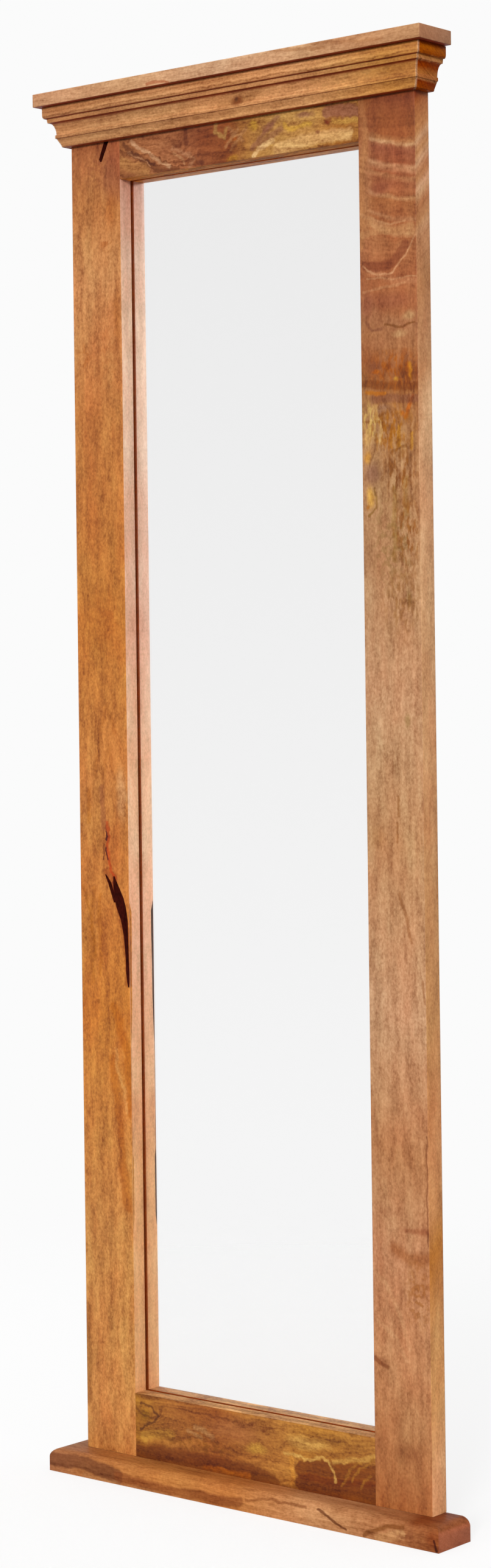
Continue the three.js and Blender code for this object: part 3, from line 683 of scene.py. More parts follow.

# %% [markdown]
# ## The rails' wood
# Both rails come from one spalted log. The upper has a purple-brown swirl that ends in pale
# yellow sapwood. The lower is ochre and brown, with a dark, sharply bounded foot at its right.
# The two finishes differ in figure and in their level faces; on the upper rail's underside that colour is
# painted light.

# %% Rails
figured_head = mango(
    "oiled_mango_spalted_head", "X",
    [(-195, "9c5f38"), (-120, "a0623e"), (-60, "945434"), (-10, "8c4a28"), (20, "a8713a"),
     (60, "b98648"), (120, "c18c4c"), (165, "aa6e32"), (195, "a86e36")],
    figure=[
        ("knot", (-98, 1702), (44, 26, 1.0), 26), ("knot", (-130, 1740), (110, 60, 1.0), 24),
        ("knot", (0, 1710), (26, 22), -12), ("lively", (-110, 1705), (90, 50), 0.4),
        ("stroke", [(-190, 1700), (-150, 1684)], (5, 5), "b67c46", 0.5),
        ("stroke", [(-186, 1723), (-154, 1697), (-122, 1683), (-96, 1679)], (2, 4), "5a2c16", 0.7),
        ("stroke", [(-180, 1714), (-142, 1690)], (0.5, 1.4), "b98058", 0.55),
        ("stroke", [(-174, 1726), (-138, 1701), (-110, 1686)], (1.0, 3), "cc9a70", 0.6),
        ("patch", (-133, 1717), (24, 12), "ab6c44", 0.45),
        ("stroke", [(-105, 1709), (-82, 1700), (-68, 1690), (-74, 1681)], (1, 4), "b8805a", 0.5),
        ("stroke", [(-102, 1701), (-86, 1693), (-84, 1685)], (0.8, 2), "c08a5e", 0.45),
        ("patch", (-50, 1713), (30, 24), "783820", 0.6),
        ("stroke", [(-82, 1726), (-80, 1712)], (2, 3), "5a2612", 0.65),
        ("patch", (-56, 1686), (9, 5), "481e0e", 0.75),
        ("stroke", [(-31, 1729), (-33, 1719), (-19, 1713), (-15, 1724)], (0.8, 3.5), "bc9050", 0.5),
        ("stroke", [(-16, 1701), (4, 1719)], (0.8, 3.5), "b07c50", 0.45),
        ("stroke", [(-8, 1694), (17, 1716)], (0.8, 3.5), "b07c50", 0.45),
        ("stroke", [(-11, 1724), (11, 1703)], (0.8, 3.5), "b07c50", 0.45),
        ("patch", (0, 1708), (5, 4), "b45c24", 0.6),
        ("patch", (-4, 1682), (14, 6), "bd8430", 0.6),
        ("patch", (31, 1719), (12, 9), "cc9c3c", 0.8),
        ("stroke", [(28, 1692), (61, 1717)], (1.5, 4.5), "865040", 0.6),
        ("stroke", [(42, 1694), (76, 1713)], (1.5, 4.5), "865040", 0.55),
        ("stroke", [(49, 1713), (68, 1725)], (1.5, 4.5), "865040", 0.6),
        ("stroke", [(30, 1681), (41, 1691), (60, 1697)], (1.5, 3.5), "dcae74", 0.75),
        ("stroke", [(79, 1715), (90, 1708), (120, 1711)], (1, 4), "cc9a38", 0.6),
        ("patch", (112, 1723), (20, 6), "865040", 0.75),
        ("stroke", [(68, 1687), (120, 1691), (180, 1692)], (5, 5), "dca96c", 0.65),
        ("patch", (133, 1699), (7, 4), "864a30", 0.75),
        ("stroke", [(148, 1723), (192, 1718)], (5, 5), "885040", 0.75),
        ("patch", (148, 1711), (8, 6), "782c0e", 0.9),
        ("stroke", [(156, 1709), (194, 1707)], (1, 4), "d6a450", 0.65),
        ("stroke", [(135, 1677), (196, 1680)], (1.5, 4), "84441c", 0.65),
    ],
    # flat is painted light: the rail's underside gets a bright orange that stands in for the light the glass
    # throws up onto it
    flat="e08a3c", across=(0.12, 1.0), period=9, sway=(7, 26, 120), stir=(2.6, 1.6), layers=0.95,
    fibre=0.4, mottle=0.75,
)
figured_foot = mango(
    "oiled_mango_spalted_foot", "X",
    [(-195, "955e26"), (-130, "995e2e"), (-60, "8c4e26"), (0, "9a602e"), (50, "a96e34"),
     (90, "a66c2e"), (195, "9e6630")],
    figure=[
        ("knot", (-172, 84), (34, 20), 16), ("knot", (30, 72), (50, 18), 12),
        ("knot", (-70, 56), (60, 24), -10), ("knot", (120, 70), (70, 22), 10),
        ("lively", (-120, 80), (110, 50), 0.3),
        ("patch", (-177, 84), (15, 13), "7c5218", 0.65),
        ("stroke", [(-186, 101), (-168, 97), (-156, 87), (-160, 79), (-188, 66)], (0.4, 2.4),
         "50290a", 0.75),
        ("stroke", [(-182, 58), (-134, 66)], (2, 7), "b48438", 0.5),
        ("stroke", [(-92, 83), (-64, 74)], (0.8, 4.5), "b08050", 0.5),
        ("stroke", [(-104, 76), (-84, 70)], (0.8, 4.5), "b08050", 0.45),
        ("patch", (-28, 86), (70, 22), "975a36", 0.5),
        ("blotch", (-90, 58), (90, 20), "6c3c1a", 0.6),
        ("stroke", [(-192, 38), (-84, 42), (-6, 40), (34, 34)], (6, 7), "642f0c", 0.75),
        ("stroke", [(-76, 34), (-6, 33)], (2, 4), "ad5e20", 0.6),
        ("patch", (9, 69), (24, 11), "c0903c", 0.6),
        ("patch", (92, 89), (46, 12), "cc9a50", 0.7),
        ("stroke", [(86, 94), (140, 97)], (1, 3), "865428", 0.45),
        ("stroke", [(83, 55), (130, 58), (200, 64)], (12, 4), "6e3606", 0.85),
        ("stroke", [(83, 38), (200, 42)], (12, 4), "6a3204", 0.85),
        ("stroke", [(64, 68), (65, 34)], (2, 3), "bd7c34", 0.75),
        ("stroke", [(53, 71), (78, 73), (96, 70), (112, 74), (123, 71), (131, 61), (134, 48)], (0.5, 2.6),
         "c89a50", 0.65),
        ("stroke", [(131, 72), (152, 78), (194, 86)], (1, 4), "c4944a", 0.55),
        ("stroke", [(157, 52), (173, 71), (192, 84)], (0.5, 2.4), "a06a2a", 0.55),
        ("stroke", [(144, 46), (156, 66), (172, 79)], (0.5, 2.4), "a06a2a", 0.5),
        ("stroke", [(172, 46), (186, 64)], (0.5, 2.4), "a06a2a", 0.45),
        ("stroke", [(-195, 29), (195, 29)], (1.5, 4), "62300e", 0.6),
    ],
    flat="d69c62", across=(0.0, 1.0), period=9, sway=(7, 26, 120), stir=(3.0, 1.7), layers=0.95,
    fibre=0.4, mottle=0.75,
)

# %% [markdown]
# ## Base board, top board and crown
# The base board is orange-brown on top and carries a dark streak along its front edge that
# dips towards the middle. The top board is paler and pinkish. The crown is straight-grained
# and pale; a pin knot sits near its middle. Its ends were sawn and oiled, so they are dark.

# %% Base board, top board and crown
base_wood = mango(
    "oiled_mango_base", "X",
    [(-315, "a56c48"), (-240, "b0703f"), (-120, "b8763f"), (0, "b8733e"), (120, "c2875a"),
     (220, "b0754c"), (315, "94522f")],
    figure=[
        ("stroke", [(-315, 17), (-240, 16), (-195, 11)], (7, 4), "70412c", 0.8),
        ("stroke", [(-195, 11), (-147, 8), (-83, 7), (-32, 8), (10, 11)], (4, 4), "86492a", 0.7),
        ("stroke", [(-250, 1), (-60, -4)], (3, 4), "b07a50", 0.5),
        ("stroke", [(20, 15), (46, 19), (91, 24), (115, 21)], (0.6, 2), "7e4426", 0.65),
        ("stroke", [(134, 21), (176, 4)], (0.8, 1.6), "5a2a12", 0.8),
        ("stroke", [(205, 2), (216, 9), (234, 18), (262, 22)], (1.2, 3), "74401f", 0.7),
        ("stroke", [(225, 2), (262, 14)], (4, 4), "c28d5c", 0.6),
        ("blotch", (272, 12), (40, 15), "854a30", 0.6),
        # painted shade on the base board where the right upright stands on it
        ("patch", (280, 31), (34, 9), "7a3408", 0.7),
        ("patch", (304, 13), (13, 13), "843f24", 0.6),
        ("stroke", [(308, 12), (312, 3)], (0.8, 1.5), "3c1a0c", 0.85),
    ],
    end="9c5c44", shine=0.12, across=(0.0, 1.0), period=6, sway=(5, 30, 220), stir=(2.5, 0.8), layers=0.6,
    fibre=0.5, mottle=0.5,
)
top_wood = mango(
    "oiled_mango_top", "X",
    [(-315, "c8926a"), (-150, "cc986c"), (0, "d0a07a"), (120, "cb986e"), (230, "b9835a"), (315, "bb8a60")],
    figure=[
        ("knot", (240, 1792), (70, 20), 8),
        ("stroke", [(-116, 1787), (-80, 1784)], (1, 2), "a85630", 0.65),
        ("stroke", [(90, 1799), (170, 1791)], (0.6, 2.5), "a87046", 0.55),
        ("stroke", [(150, 1799), (260, 1788)], (0.6, 2.5), "a87046", 0.55),
        ("blotch", (200, 1790), (90, 12), "a06a44", 0.4),
    ],
    # under is painted shade on the top board's underside
    end="9c6c50", under="903606", across=(0.0, 1.0), period=5, sway=(4, 30, 200), stir=(3.0, 0.8),
    layers=0.45, fibre=0.4, mottle=0.5,
)
crown_wood = mango(
    "oiled_mango_crown", "X",
    [(-307, "c08352"), (-100, "ca8e5c"), (0, "cb8c58"), (120, "cf925e"), (250, "bf8040"), (307, "be7e40")],
    figure=[
        ("knot", (17, 1750), (16, 7), 9),
        ("patch", (17, 1751), (14, 8, 0.75), "7a3410", 0.95),
        ("patch", (16, 1752.5), (5.5, 4.5), "3c1408", 0.9),
        ("stroke", [(-12, 1749), (42, 1751)], (1.5, 5), "8e552a", 0.45),
        ("blotch", (-120, 1750), (150, 26), "a87040", 0.4),
        ("blotch", (180, 1755), (120, 26), "ab7644", 0.4),
    ],
    # under is painted shade on the underside of the crown's foot
    end="8a4a20", under="943c08", mitre_glint=281, across=(0.0, 1.0), period=3.2, sway=(1.6, 30, 240),
    stir=(1.5, 0.5), layers=0.8, fibre=0.4, mottle=0.6,
)
# The return's tones run with the height and are painted light: painted shade in the quirks, the cove and
# under the top board, and painted highlights on the fillet and the bead's edge.
return_wood_painted_shade = mango(
    "oiled_mango_crown_return_painted_shade", "Y",
    [(1731, "8c4608"), (1739, "883e04"), (1741, "ac6c44"), (1744, "aa6a40"), (1750, "a86a3a"),
     (1757, "904408"), (1761.5, "944206"), (1763, "b87c50"), (1767.5, "ac7040"), (1769, "90481a"),
     (1776, "9c5626"), (1783, "7a3a14")],
    end="8a4412", mitre_glint=281, by_height=True, shine=0.04, across=(0.0, 1.0), period=3.2, sway=(1.6, 30, 240),
    stir=(1.6, 0.6), layers=1.1, fibre=0.4, mottle=0.9,
)

# %% [markdown]
# ## Other surfaces
# The walls of an old crack are dark with resin and dirt, and dull. The rebate is left raw when
# the frame is oiled; little light gets down there, so the bright raw wood makes no more than a
# red-brown line beside the glass. The rest is hardboard, zinc plate over drawn or stamped
# steel, which is a pale, faintly blue metal with a soft gloss, and clear soft rubber. That is
# drawn as a milky solid: what lies behind such a thick dome hardly shows.

# %% Crack wall, raw wood, hardboard, steel and rubber


def plain_noise_finish(name, dark, light, spots_mm, roughness, metallic=0.0, bump_mm=0.05, shine=0.5):
    """A finish whose colour and roughness wander between two values, over spots of this size."""
    material, tree = new_material(name)
    place = add(tree, "ShaderNodeTexCoord").outputs["Object"]
    flow = add(tree, "ShaderNodeVectorMath", (place, spots(*(size * MM for size in spots_mm))),
               operation="MULTIPLY")
    noise = add(tree, "ShaderNodeTexNoise", {"Vector": flow, "Scale": 1.0, "Detail": 3.0})
    tone = paint(add(tree, "ShaderNodeValToRGB", (noise,)), [(0.3, linear(dark)), (0.7, linear(light))])
    gloss = add(tree, "ShaderNodeMapRange", (noise, 0.3, 0.7, roughness[1], roughness[0]))
    bump = add(tree, "ShaderNodeBump", {"Height": noise, "Strength": 0.4, "Distance": bump_mm * MM})
    surface = add(tree, "ShaderNodeBsdfPrincipled", {
        "Base Color": tone, "Roughness": gloss, "Normal": bump, "Metallic": metallic,
        "Specular IOR Level": shine})
    add(tree, "ShaderNodeOutputMaterial", (surface,))
    return material


crack_wall = plain_noise_finish("crack_wall", "280502", "440e06", (2, 2, 6), (0.9, 1.0), shine=0.1)
raw_wood = plain_noise_finish("raw_mango_rebate", "b4420c", "c24e12", (3, 3, 3), (0.9, 1.0), shine=0.1)
hardboard = plain_noise_finish("hardboard", "6b4529", "8a6240", (1.2, 1.2, 1.2), (0.75, 0.9), bump_mm=0.1)
zinc = plain_noise_finish("zinc_plated_steel", "a9abab", "c9cac6", (3, 3, 3), (0.28, 0.42), 1.0, 0.01)
rubber = plain_noise_finish("clear_rubber", "cdd0cb", "dee0db", (4, 4, 4), (0.45, 0.6), 0.0, 0.02)
print("small finishes made")

# %% [markdown]
# ## The looking glass
# A mirror is a sheet of float glass, 3 mm thick, silvered on its back. Light goes in through
# the glass, turns at the silver and comes out, which is why a real mirror shows a thin dark
# line where it meets its frame: there the eye looks under the lip. A metal face alone would
# miss that, so the front and the edges are glass and only the back face is silver.

# %% Float glass and silvering
GLASS = {"Base Color": linear("ffffff"), "Roughness": 0.0, "IOR": 1.5, "Transmission Weight": 1.0}
SILVER = {"Base Color": linear("fefefe"), "Roughness": 0.0, "Metallic": 1.0}
sheet = []
for name, values in (("float_glass", GLASS), ("silvering", SILVER)):
    material, tree = new_material(name)
    add(tree, "ShaderNodeOutputMaterial", (add(tree, "ShaderNodeBsdfPrincipled", values),))
    sheet.append(material)
print("glass and silver")

# %% [markdown]
# ## Helpers for meshes
# A board is most easily made from its measured solid, whose corners are exact: its loose
# triangles are welded, flat ones are joined up, and the long arrises that a hand touches are
# taken off with a small bevel, as a joiner does with a block plane and sandpaper. A crack's
# section changes along its length, so it is lofted through rings of points and cut out.

# %% Meshes and objects
HAIR = 0.01 * MM  # places closer than this count as one


def weld(node):
    """The measured mesh of a node, with its corners welded and its flat faces joined."""
    bm = bmesh.new()
    bm.from_mesh(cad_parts[node].data)
    bmesh.ops.remove_doubles(bm, verts=bm.verts, dist=0.1 * HAIR)
    bmesh.ops.dissolve_limit(bm, angle_limit=math.radians(0.2), verts=bm.verts, edges=bm.edges)
    return bm


def bevel(bm, edges, radius, steps):
    """Rounds these edges off."""
    bmesh.ops.bevel(bm, geom=edges, offset=radius, segments=steps, profile=0.5, material=-1,
                    affect="EDGES", clamp_overlap=True)


def soften(bm, radius, planes, steps=3):
    """Bevels the edges that lie in two of these planes. A plane is (axis 0 to 2, place)."""
    def lies(vert):
        return {plane for plane in planes if abs(vert.co[plane[0]] - plane[1]) < HAIR}
    bevel(bm, [e for e in bm.edges if len(lies(e.verts[0]) & lies(e.verts[1])) >= 2], radius, steps)


def box_planes(node):
    """The six planes of a node's box."""
    return [(axis, corner[axis]) for axis in range(3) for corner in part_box(node)]


def eased_board(name, node, radius, steps, *materials):
    """A measured board with all its outer arrises eased."""
    bm = weld(node)
    soften(bm, radius, box_planes(node), steps)
    return make(name, bm, *materials)


def shade(mesh, degrees=35):
    """Smooth shading, with edges sharper than this angle kept sharp."""
    bm = bmesh.new()
    bm.from_mesh(mesh)
    for face in bm.faces:
        face.smooth = True
    for edge in bm.edges:
        edge.smooth = len(edge.link_faces) == 2 and edge.calc_face_angle(4) < math.radians(degrees)
    bm.to_mesh(mesh)
    bm.free()


def make(name, bm, *materials):
    """A new object from this bmesh, at the world's origin."""
    mesh = bpy.data.meshes.new(name)
    bm.to_mesh(mesh)
    bm.free()
    for material in materials:
        mesh.materials.append(material)
    obj = bpy.data.objects.new(name, mesh)
    scene.collection.objects.link(obj)
    shade(mesh)
    return obj


print("places closer than", HAIR / MM, "mm count as one")

# %% Handing a piece over, and cutting one


def hand_over(obj, body, slot, *nodes):
    """obj rides on a body and stands for these nodes. slot is not used."""
    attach(obj, body)
    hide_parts(*nodes)
    print(obj.name, "-", len(obj.data.polygons), "faces, for", ", ".join(nodes))


def applied(obj, modifier):
    """Turns what a modifier makes of obj into obj's own plain mesh."""
    graph = bpy.context.evaluated_depsgraph_get()
    mesh = bpy.data.meshes.new_from_object(obj.evaluated_get(graph))
    obj.modifiers.remove(modifier)
    obj.data = mesh
    shade(mesh)
    return obj


def cut(obj, cutter):
    """Takes a cutter's shape out of obj. The cut faces keep the cutter's material."""
    modifier = obj.modifiers.new("cut", "BOOLEAN")
    modifier.operation, modifier.solver, modifier.object = "DIFFERENCE", "EXACT", cutter
    modifier.material_mode = "TRANSFER"
    applied(obj, modifier)
    bpy.data.objects.remove(cutter)


print("cutters are taken out exactly")

# %% Lofted bodies


def loft(name, rings, *materials, finish_of=()):
    """A closed body through rings of points. finish_of is the finish of each side in turn."""
    bm = bmesh.new()
    rings = [[bm.verts.new(point) for point in ring] for ring in rings]
    for a, b in zip(rings, rings[1:]):
        for i in range(len(a)):
            j = (i + 1) % len(a)
            wall = bm.faces.new((a[i], a[j], b[j], b[i]))
            wall.material_index = finish_of[i] if finish_of else 0
    bm.faces.new(rings[0][::-1])
    bm.faces.new(rings[-1])
    bmesh.ops.recalc_face_normals(bm, faces=bm.faces)
    return make(name, bm, *materials)


print("lofts ready")

# %% [markdown]
# ## Uprights
# The uprights run the whole height and hold the rails' tenons in blind mortises. Behind the
# front lip lies the rebate for the glass, left raw, and the lip's back arris is planed off.
# The left upright has a long shake that runs out on the inner arris, a small one beside it,
# and a short slanting one under the crown. Each is cut as a V groove, from outlines a few
# centimetres apart. The long one comes out again behind the inner arris, as a flake that turns
# its dark side to the glass: straight on it is hidden, and the looking glass shows it. The
# right upright is painted in two parts that meet at a seam, where both finishes are alike.

# %% Sizes of the frame
low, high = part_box("left_stile")
front, back = low.y, high.y
half_frame, inner = abs(low.x), abs(high.x)
opening = (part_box("bottom_rail")[1].z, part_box("top_rail")[0].z)
GLASS_PLAY = 0.3 * MM
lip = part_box("mirror_glass")[0].y - GLASS_PLAY
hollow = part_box("back_panel")
ARRIS, OPENING_ARRIS, LIP_CHAMFER, REACH_PAST = 0.8 * MM, 0.3 * MM, 1.0 * MM, 0.5 * MM
print("front at", round(front / MM, 1), "mm, lip's back at", round(lip / MM, 1), "mm")


def frame_member(name, bm, material):
    """A member of the frame, whose rebate behind the lip's chamfer is left raw."""
    for face in bm.faces:
        middle = face.calc_center_median()
        if (min(vert.co.y for vert in face.verts) > lip - LIP_CHAMFER - HAIR
                and abs(middle.x) < hollow[1].x + REACH_PAST
                and hollow[0].z - REACH_PAST < middle.z < hollow[1].z + REACH_PAST):
            face.material_index = 1
    return make(name, bm, material, raw_wood)


# %% Uprights
def upright(node, name, side, material, head_material=None):
    """The upright on this side, -1 or 1, with a finish of its own above the seam if need be."""
    bm = weld(node)
    if head_material:
        bmesh.ops.bisect_plane(bm, geom=bm.verts[:] + bm.edges[:] + bm.faces[:], plane_co=(0, 0, SEAM),
                               plane_no=(0, 0, 1))
    soften(bm, ARRIS, [(0, side * half_frame), (1, front), (1, back)])
    soften(bm, OPENING_ARRIS, [(0, side * inner), (1, front)], 2)
    obj = frame_member(name, bm, material)
    if head_material:
        obj.data.materials.append(head_material)
        for face in obj.data.polygons:
            if face.material_index == 0 and face.center.z > SEAM:
                face.material_index = 2
    # The lip's back arris is planed off between the rails.
    far = LIP_CHAMFER + REACH_PAST
    corner = [(inner - REACH_PAST, lip - far), (inner + far, lip + REACH_PAST),
              (inner - REACH_PAST, lip + REACH_PAST)]
    cut(obj, loft(name + "_lip_plane", [[(side * x, y, z) for x, y in corner] for z in
                                        (opening[0] - LIP_CHAMFER, opening[1] + LIP_CHAMFER)], raw_wood))
    return obj


left_upright = upright("left_stile", "left_upright", -1, golden)
right_upright = upright("right_stile", "right_upright", 1, red, red_head)
print("finishes on the right upright:", [material.name for material in right_upright.data.materials])

# %% Shakes in the left upright
SHAKES = {
    # stations of (height, left, right, depth) in mm
    "main_shake": [
        (635, -198.7, -196.5, 1), (643, -200.4, -195.8, 1.4), (653, -201.6, -195.8, 1.8),
        (672, -202.2, -196.6, 4), (701, -205, -197.4, 8), (721, -209.6, -197.6, 9),
        (738.5, -217.6, -200.6, 9), (750, -220.6, -204.5, 8), (762, -222, -211, 7),
        (773, -222.4, -217.3, 4), (778, -222, -219.6, 1.5)],
    "side_shake": [(744, -221.5, -217, 3), (757.5, -227, -221, 4), (769.5, -231.6, -225.4, 4),
                   (780, -236.6, -234.2, 1)],
    "top_shake": [(1706, -229.4, -226.2, 2), (1709.5, -231, -224.6, 5), (1720.5, -226.6, -219, 7),
                  (1731, -222, -214.2, 7), (1745, -215.5, -207.5, 7)],
}
FLAKE = [  # stations of (height, depth) in mm
    (322, 0.2), (335, 1.2), (410, 1.3), (424, 0.35), (560, 0.35), (590, 1.1), (620, 1.6), (664, 1.6),
    (700, 2), (732, 2), (744, 0.3)]
face_mm, edge_mm = front / MM, -inner / MM


def in_metres(points, height):
    """A ring at this height, from points (X, Y) in mm."""
    return [(x * MM, y * MM, height * MM) for x, y in points]


for name, outline in SHAKES.items():
    rings = []
    for height, left, right, depth in outline:
        middle, width = (left + right) / 2, right - left
        rings.append(in_metres([
            (left - 0.2, face_mm - 2), (left, face_mm), (middle - 0.1 * width, face_mm + depth),
            (middle + 0.2 * width, face_mm + 0.8 * depth), (right, face_mm),
            (right + 0.2, face_mm - 2)], height))
    cut(left_upright, loft(name, rings, crack_wall))
LEAD = 0.5  # how far the flake's slit starts off the arris, in mm
cut(left_upright, loft("flake_slit", [
    in_metres([(edge_mm + LEAD, face_mm), (edge_mm - deep, face_mm + LEAD + deep),
               (edge_mm + LEAD, face_mm + 2 * (LEAD + deep))], height)
    for height, deep in FLAKE], crack_wall, golden, finish_of=(0, 1, 1)))
hand_over(left_upright, "frame", "mango_golden", "left_stile")
hand_over(right_upright, "frame", "mango_red", "right_stile")

# %% [markdown]
# ## Rails
# Their tenons reach deep into the uprights. Where a rail meets an upright the two arrises
# leave the fine line that shows that this is a joint and not one panel.

# %% Rails
SHOULDER_PLAY, CLOSE_FIT = 0.3 * MM, 0.05 * MM
for node, name, edge, material in (("top_rail", "head_rail", opening[1], figured_head),
                                   ("bottom_rail", "foot_rail", opening[0], figured_foot)):
    bm = weld(node)
    # The shoulders close up against the uprights to a hair.
    for vert in bm.verts:
        if abs(abs(vert.co.x) - inner + SHOULDER_PLAY) < HAIR:
            vert.co.x = math.copysign(inner - CLOSE_FIT, vert.co.x)
    soften(bm, OPENING_ARRIS, [(1, front), (2, edge)], 2)
    soften(bm, LIP_CHAMFER, [(1, lip), (2, edge)], 1)
    hand_over(frame_member(name, bm, material), "frame", "mango_figured", node)

# %% [markdown]
# ## Base board
# Its top edge is rounded over with a flat quarter oval on the front and both ends, so that
# it reads as a soft step. The measured board has this in facets; here the same oval is drawn
# with many more, on a grid of places over the board, and the lower arrises are eased.

# %% Base board
low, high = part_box("sill_board")
RUN, DROP, OVAL_STEPS = 13 * MM, 11 * MM, 14


def eased_height(x, y):
    """Height of the top face at this place."""
    share = max(0.0, 1 - min(y - low.y, x - low.x, high.x - x) / RUN)
    return high.z - DROP * (1 - math.sqrt(max(0.0, 1 - share * share)))


insets = [RUN * (1 - math.cos(math.pi / 2 * step / OVAL_STEPS)) for step in range(OVAL_STEPS + 1)]
xs = [low.x + d for d in insets] + [0.0] + [high.x - d for d in reversed(insets)]
ys = [low.y + d for d in insets] + [high.y]
last_x, last_y = len(xs) - 1, len(ys) - 1
bm = bmesh.new()
top = {(i, j): bm.verts.new((x, y, eased_height(x, y))) for i, x in enumerate(xs) for j, y in enumerate(ys)}
foot = {(i, j): bm.verts.new((x, y, low.z)) for i, x in enumerate(xs) for j, y in enumerate(ys)
        if i in (0, last_x) or j in (0, last_y)}
for i in range(last_x):
    for j in range(last_y):
        bm.faces.new((top[i, j], top[i + 1, j], top[i + 1, j + 1], top[i, j + 1]))
rim = ([(i, 0) for i in range(last_x)] + [(last_x, j) for j in range(last_y)]
       + [(i, last_y) for i in range(last_x, 0, -1)] + [(0, j) for j in range(last_y, 0, -1)])
for a, b in zip(rim, rim[1:] + rim[:1]):
    bm.faces.new((foot[a], foot[b], top[b], top[a]))
bm.faces.new([foot[key] for key in reversed(rim)])
bmesh.ops.dissolve_limit(bm, angle_limit=math.radians(0.1), verts=bm.verts, edges=bm.edges)
bmesh.ops.recalc_face_normals(bm, faces=bm.faces)
soften(bm, ARRIS, box_planes("sill_board"), 2)
base_board = make("base_board", bm, base_wood)
print("base board, rounded over", RUN / MM, "by", DROP / MM, "mm in", OVAL_STEPS, "steps")

# %% [markdown]
# The five long screws come up through the base board, so it has countersunk holes. Each hole
# is a cone and a shaft turned in one, and all of them make a single cutter.

# %% Turned bodies, and where nodes are


def turned(name, profile, places, material, axis="Z", steps=32):
    """Lathe bodies at these places: profile is (radius, height) in mm along the axis."""
    aim = {"Z": Matrix(), "-Y": Matrix.Rotation(math.pi / 2, 4, "X"),
           "Y": Matrix.Rotation(-math.pi / 2, 4, "X")}[axis]
    bm = bmesh.new()
    for place in places:
        move = Matrix.Translation(place) @ aim
        rings = []
        for radius, height in profile:
            angles = [math.tau * k / steps for k in range(steps if radius else 1)]
            ring = [Vector((radius * math.cos(t), radius * math.sin(t), height)) for t in angles]
            rings.append([bm.verts.new(move @ (MM * point)) for point in ring])
        for a, b in zip(rings, rings[1:]):
            for k in range(steps):
                ring = [a[k % len(a)], a[(k + 1) % len(a)], b[(k + 1) % len(b)], b[k % len(b)]]
                corners = list(dict.fromkeys(ring))
                if len(corners) > 2:
                    bm.faces.new(corners)
    bmesh.ops.recalc_face_normals(bm, faces=bm.faces)
    return make(name, bm, material)


def nodes_named(start):
    """The nodes whose names start like this, in order."""
    return sorted(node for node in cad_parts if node.startswith(start))


def middle_of(node):
    """The middle of a node's box."""
    low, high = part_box(node)
    return (low + high) / 2


print(len(nodes_named("sill_screw")), "screws come up through the base board")

# %% Holes in the base board
COUNTERSINK = [(0, -3), (4.8, -3), (4.8, 0.3), (2.55, 3.1), (2.55, 40), (0, 40)]
places = [(*middle_of(node).xy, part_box(node)[0].z) for node in nodes_named("sill_screw")]
cut(base_board, turned("base_holes", COUNTERSINK, places, base_wood))
hand_over(base_board, "frame", "mango_golden", "sill_board")

# %% [markdown]
# ## Top board
# A plain board with crisp edges, only just eased. Its counterbores, for screws and plugs,
# come with the measured solid.

# %% Top board
TOP_ARRIS = 0.9 * MM
top_board = eased_board("top_board", "cap_board", TOP_ARRIS, 3, top_wood)
hand_over(top_board, "frame", "mango_pale", "cap_board")

# %% [markdown]
# ## Crown moulding
# A moulding is one section carried along a line, and it turns a corner by a mitre: both
# pieces are cut at 45 degrees, so that every member of the section meets its twin. That is a
# rule, so a Geometry Nodes tree makes it: it extrudes the section, and at a mitred end it
# pushes each point along by as much as it stands out from the frame.

# %% Helpers for node trees that make shapes
GEOMETRY, MATERIAL = "NodeSocketGeometry", "NodeSocketMaterial"


def end_tree(tree, shape, given, result):
    """Makes copies real, puts the finish on the shape and hands it to the tree's output."""
    real = add(tree, "GeometryNodeRealizeInstances", (shape,))
    finished = add(tree, "GeometryNodeSetMaterial", {"Geometry": real, "Material": given["Finish"]})
    feed(tree, result[0], finished)
    print(tree.name, len(tree.nodes), "nodes")


def seed_mesh(name, points, edges=(), faces=()):
    """A bare mesh that a tree starts from."""
    mesh = bpy.data.meshes.new(name)
    mesh.from_pydata(points, edges, faces)
    return mesh


def grow(name, tree, seed, **sizes):
    """Runs a tree on a seed mesh. The result is a plain mesh on an object of its own."""
    obj = bpy.data.objects.new(name, seed)
    scene.collection.objects.link(obj)
    modifier = obj.modifiers.new(tree.name, "NODES")
    modifier.node_group = tree
    sockets = {item.name: item.identifier for item in tree.interface.items_tree if item.in_out == "INPUT"}
    for label, value in sizes.items():
        modifier[sockets[label.replace("_", " ")]] = value
    applied(obj, modifier).data.name = name
    return obj


# %% The moulding as a node tree
moulding, given, result = new_group(
    "moulding_run", "GeometryNodeTree",
    {"Section": GEOMETRY, "Along": VECTOR, "Out": VECTOR, "Length": 1.0, "Root": 0.0, "Middle": 0.0,
     "Start mitre": 0.0, "End mitre": 0.0, "Finish": MATERIAL},
    {"Moulding": GEOMETRY})
drawn = add(moulding, "GeometryNodeExtrudeMesh",
            {"Mesh": given["Section"], "Offset": given["Along"], "Offset Scale": given["Length"],
             "Individual": False})
back_cap = add(moulding, "GeometryNodeFlipFaces", {"Mesh": given["Section"]})
joined = add(moulding, "GeometryNodeJoinGeometry", ([back_cap, drawn],))
welded = add(moulding, "GeometryNodeMergeByDistance", {"Geometry": joined, "Distance": 0.1 * HAIR})
spot = add(moulding, "GeometryNodeInputPosition")
out = add(moulding, "ShaderNodeVectorMath", (spot, given["Out"]), operation="DOT_PRODUCT")
stands = add(moulding, "ShaderNodeMath", (out, given["Root"]), operation="SUBTRACT")
along = add(moulding, "ShaderNodeVectorMath", (spot, given["Along"]), operation="DOT_PRODUCT")
past = add(moulding, "ShaderNodeMath", (along, given["Middle"]), operation="GREATER_THAN")
back_push = add(moulding, "ShaderNodeMath", (given["Start mitre"], -1.0), operation="MULTIPLY")
share = add(moulding, "ShaderNodeMix", (past, back_push, given["End mitre"]))
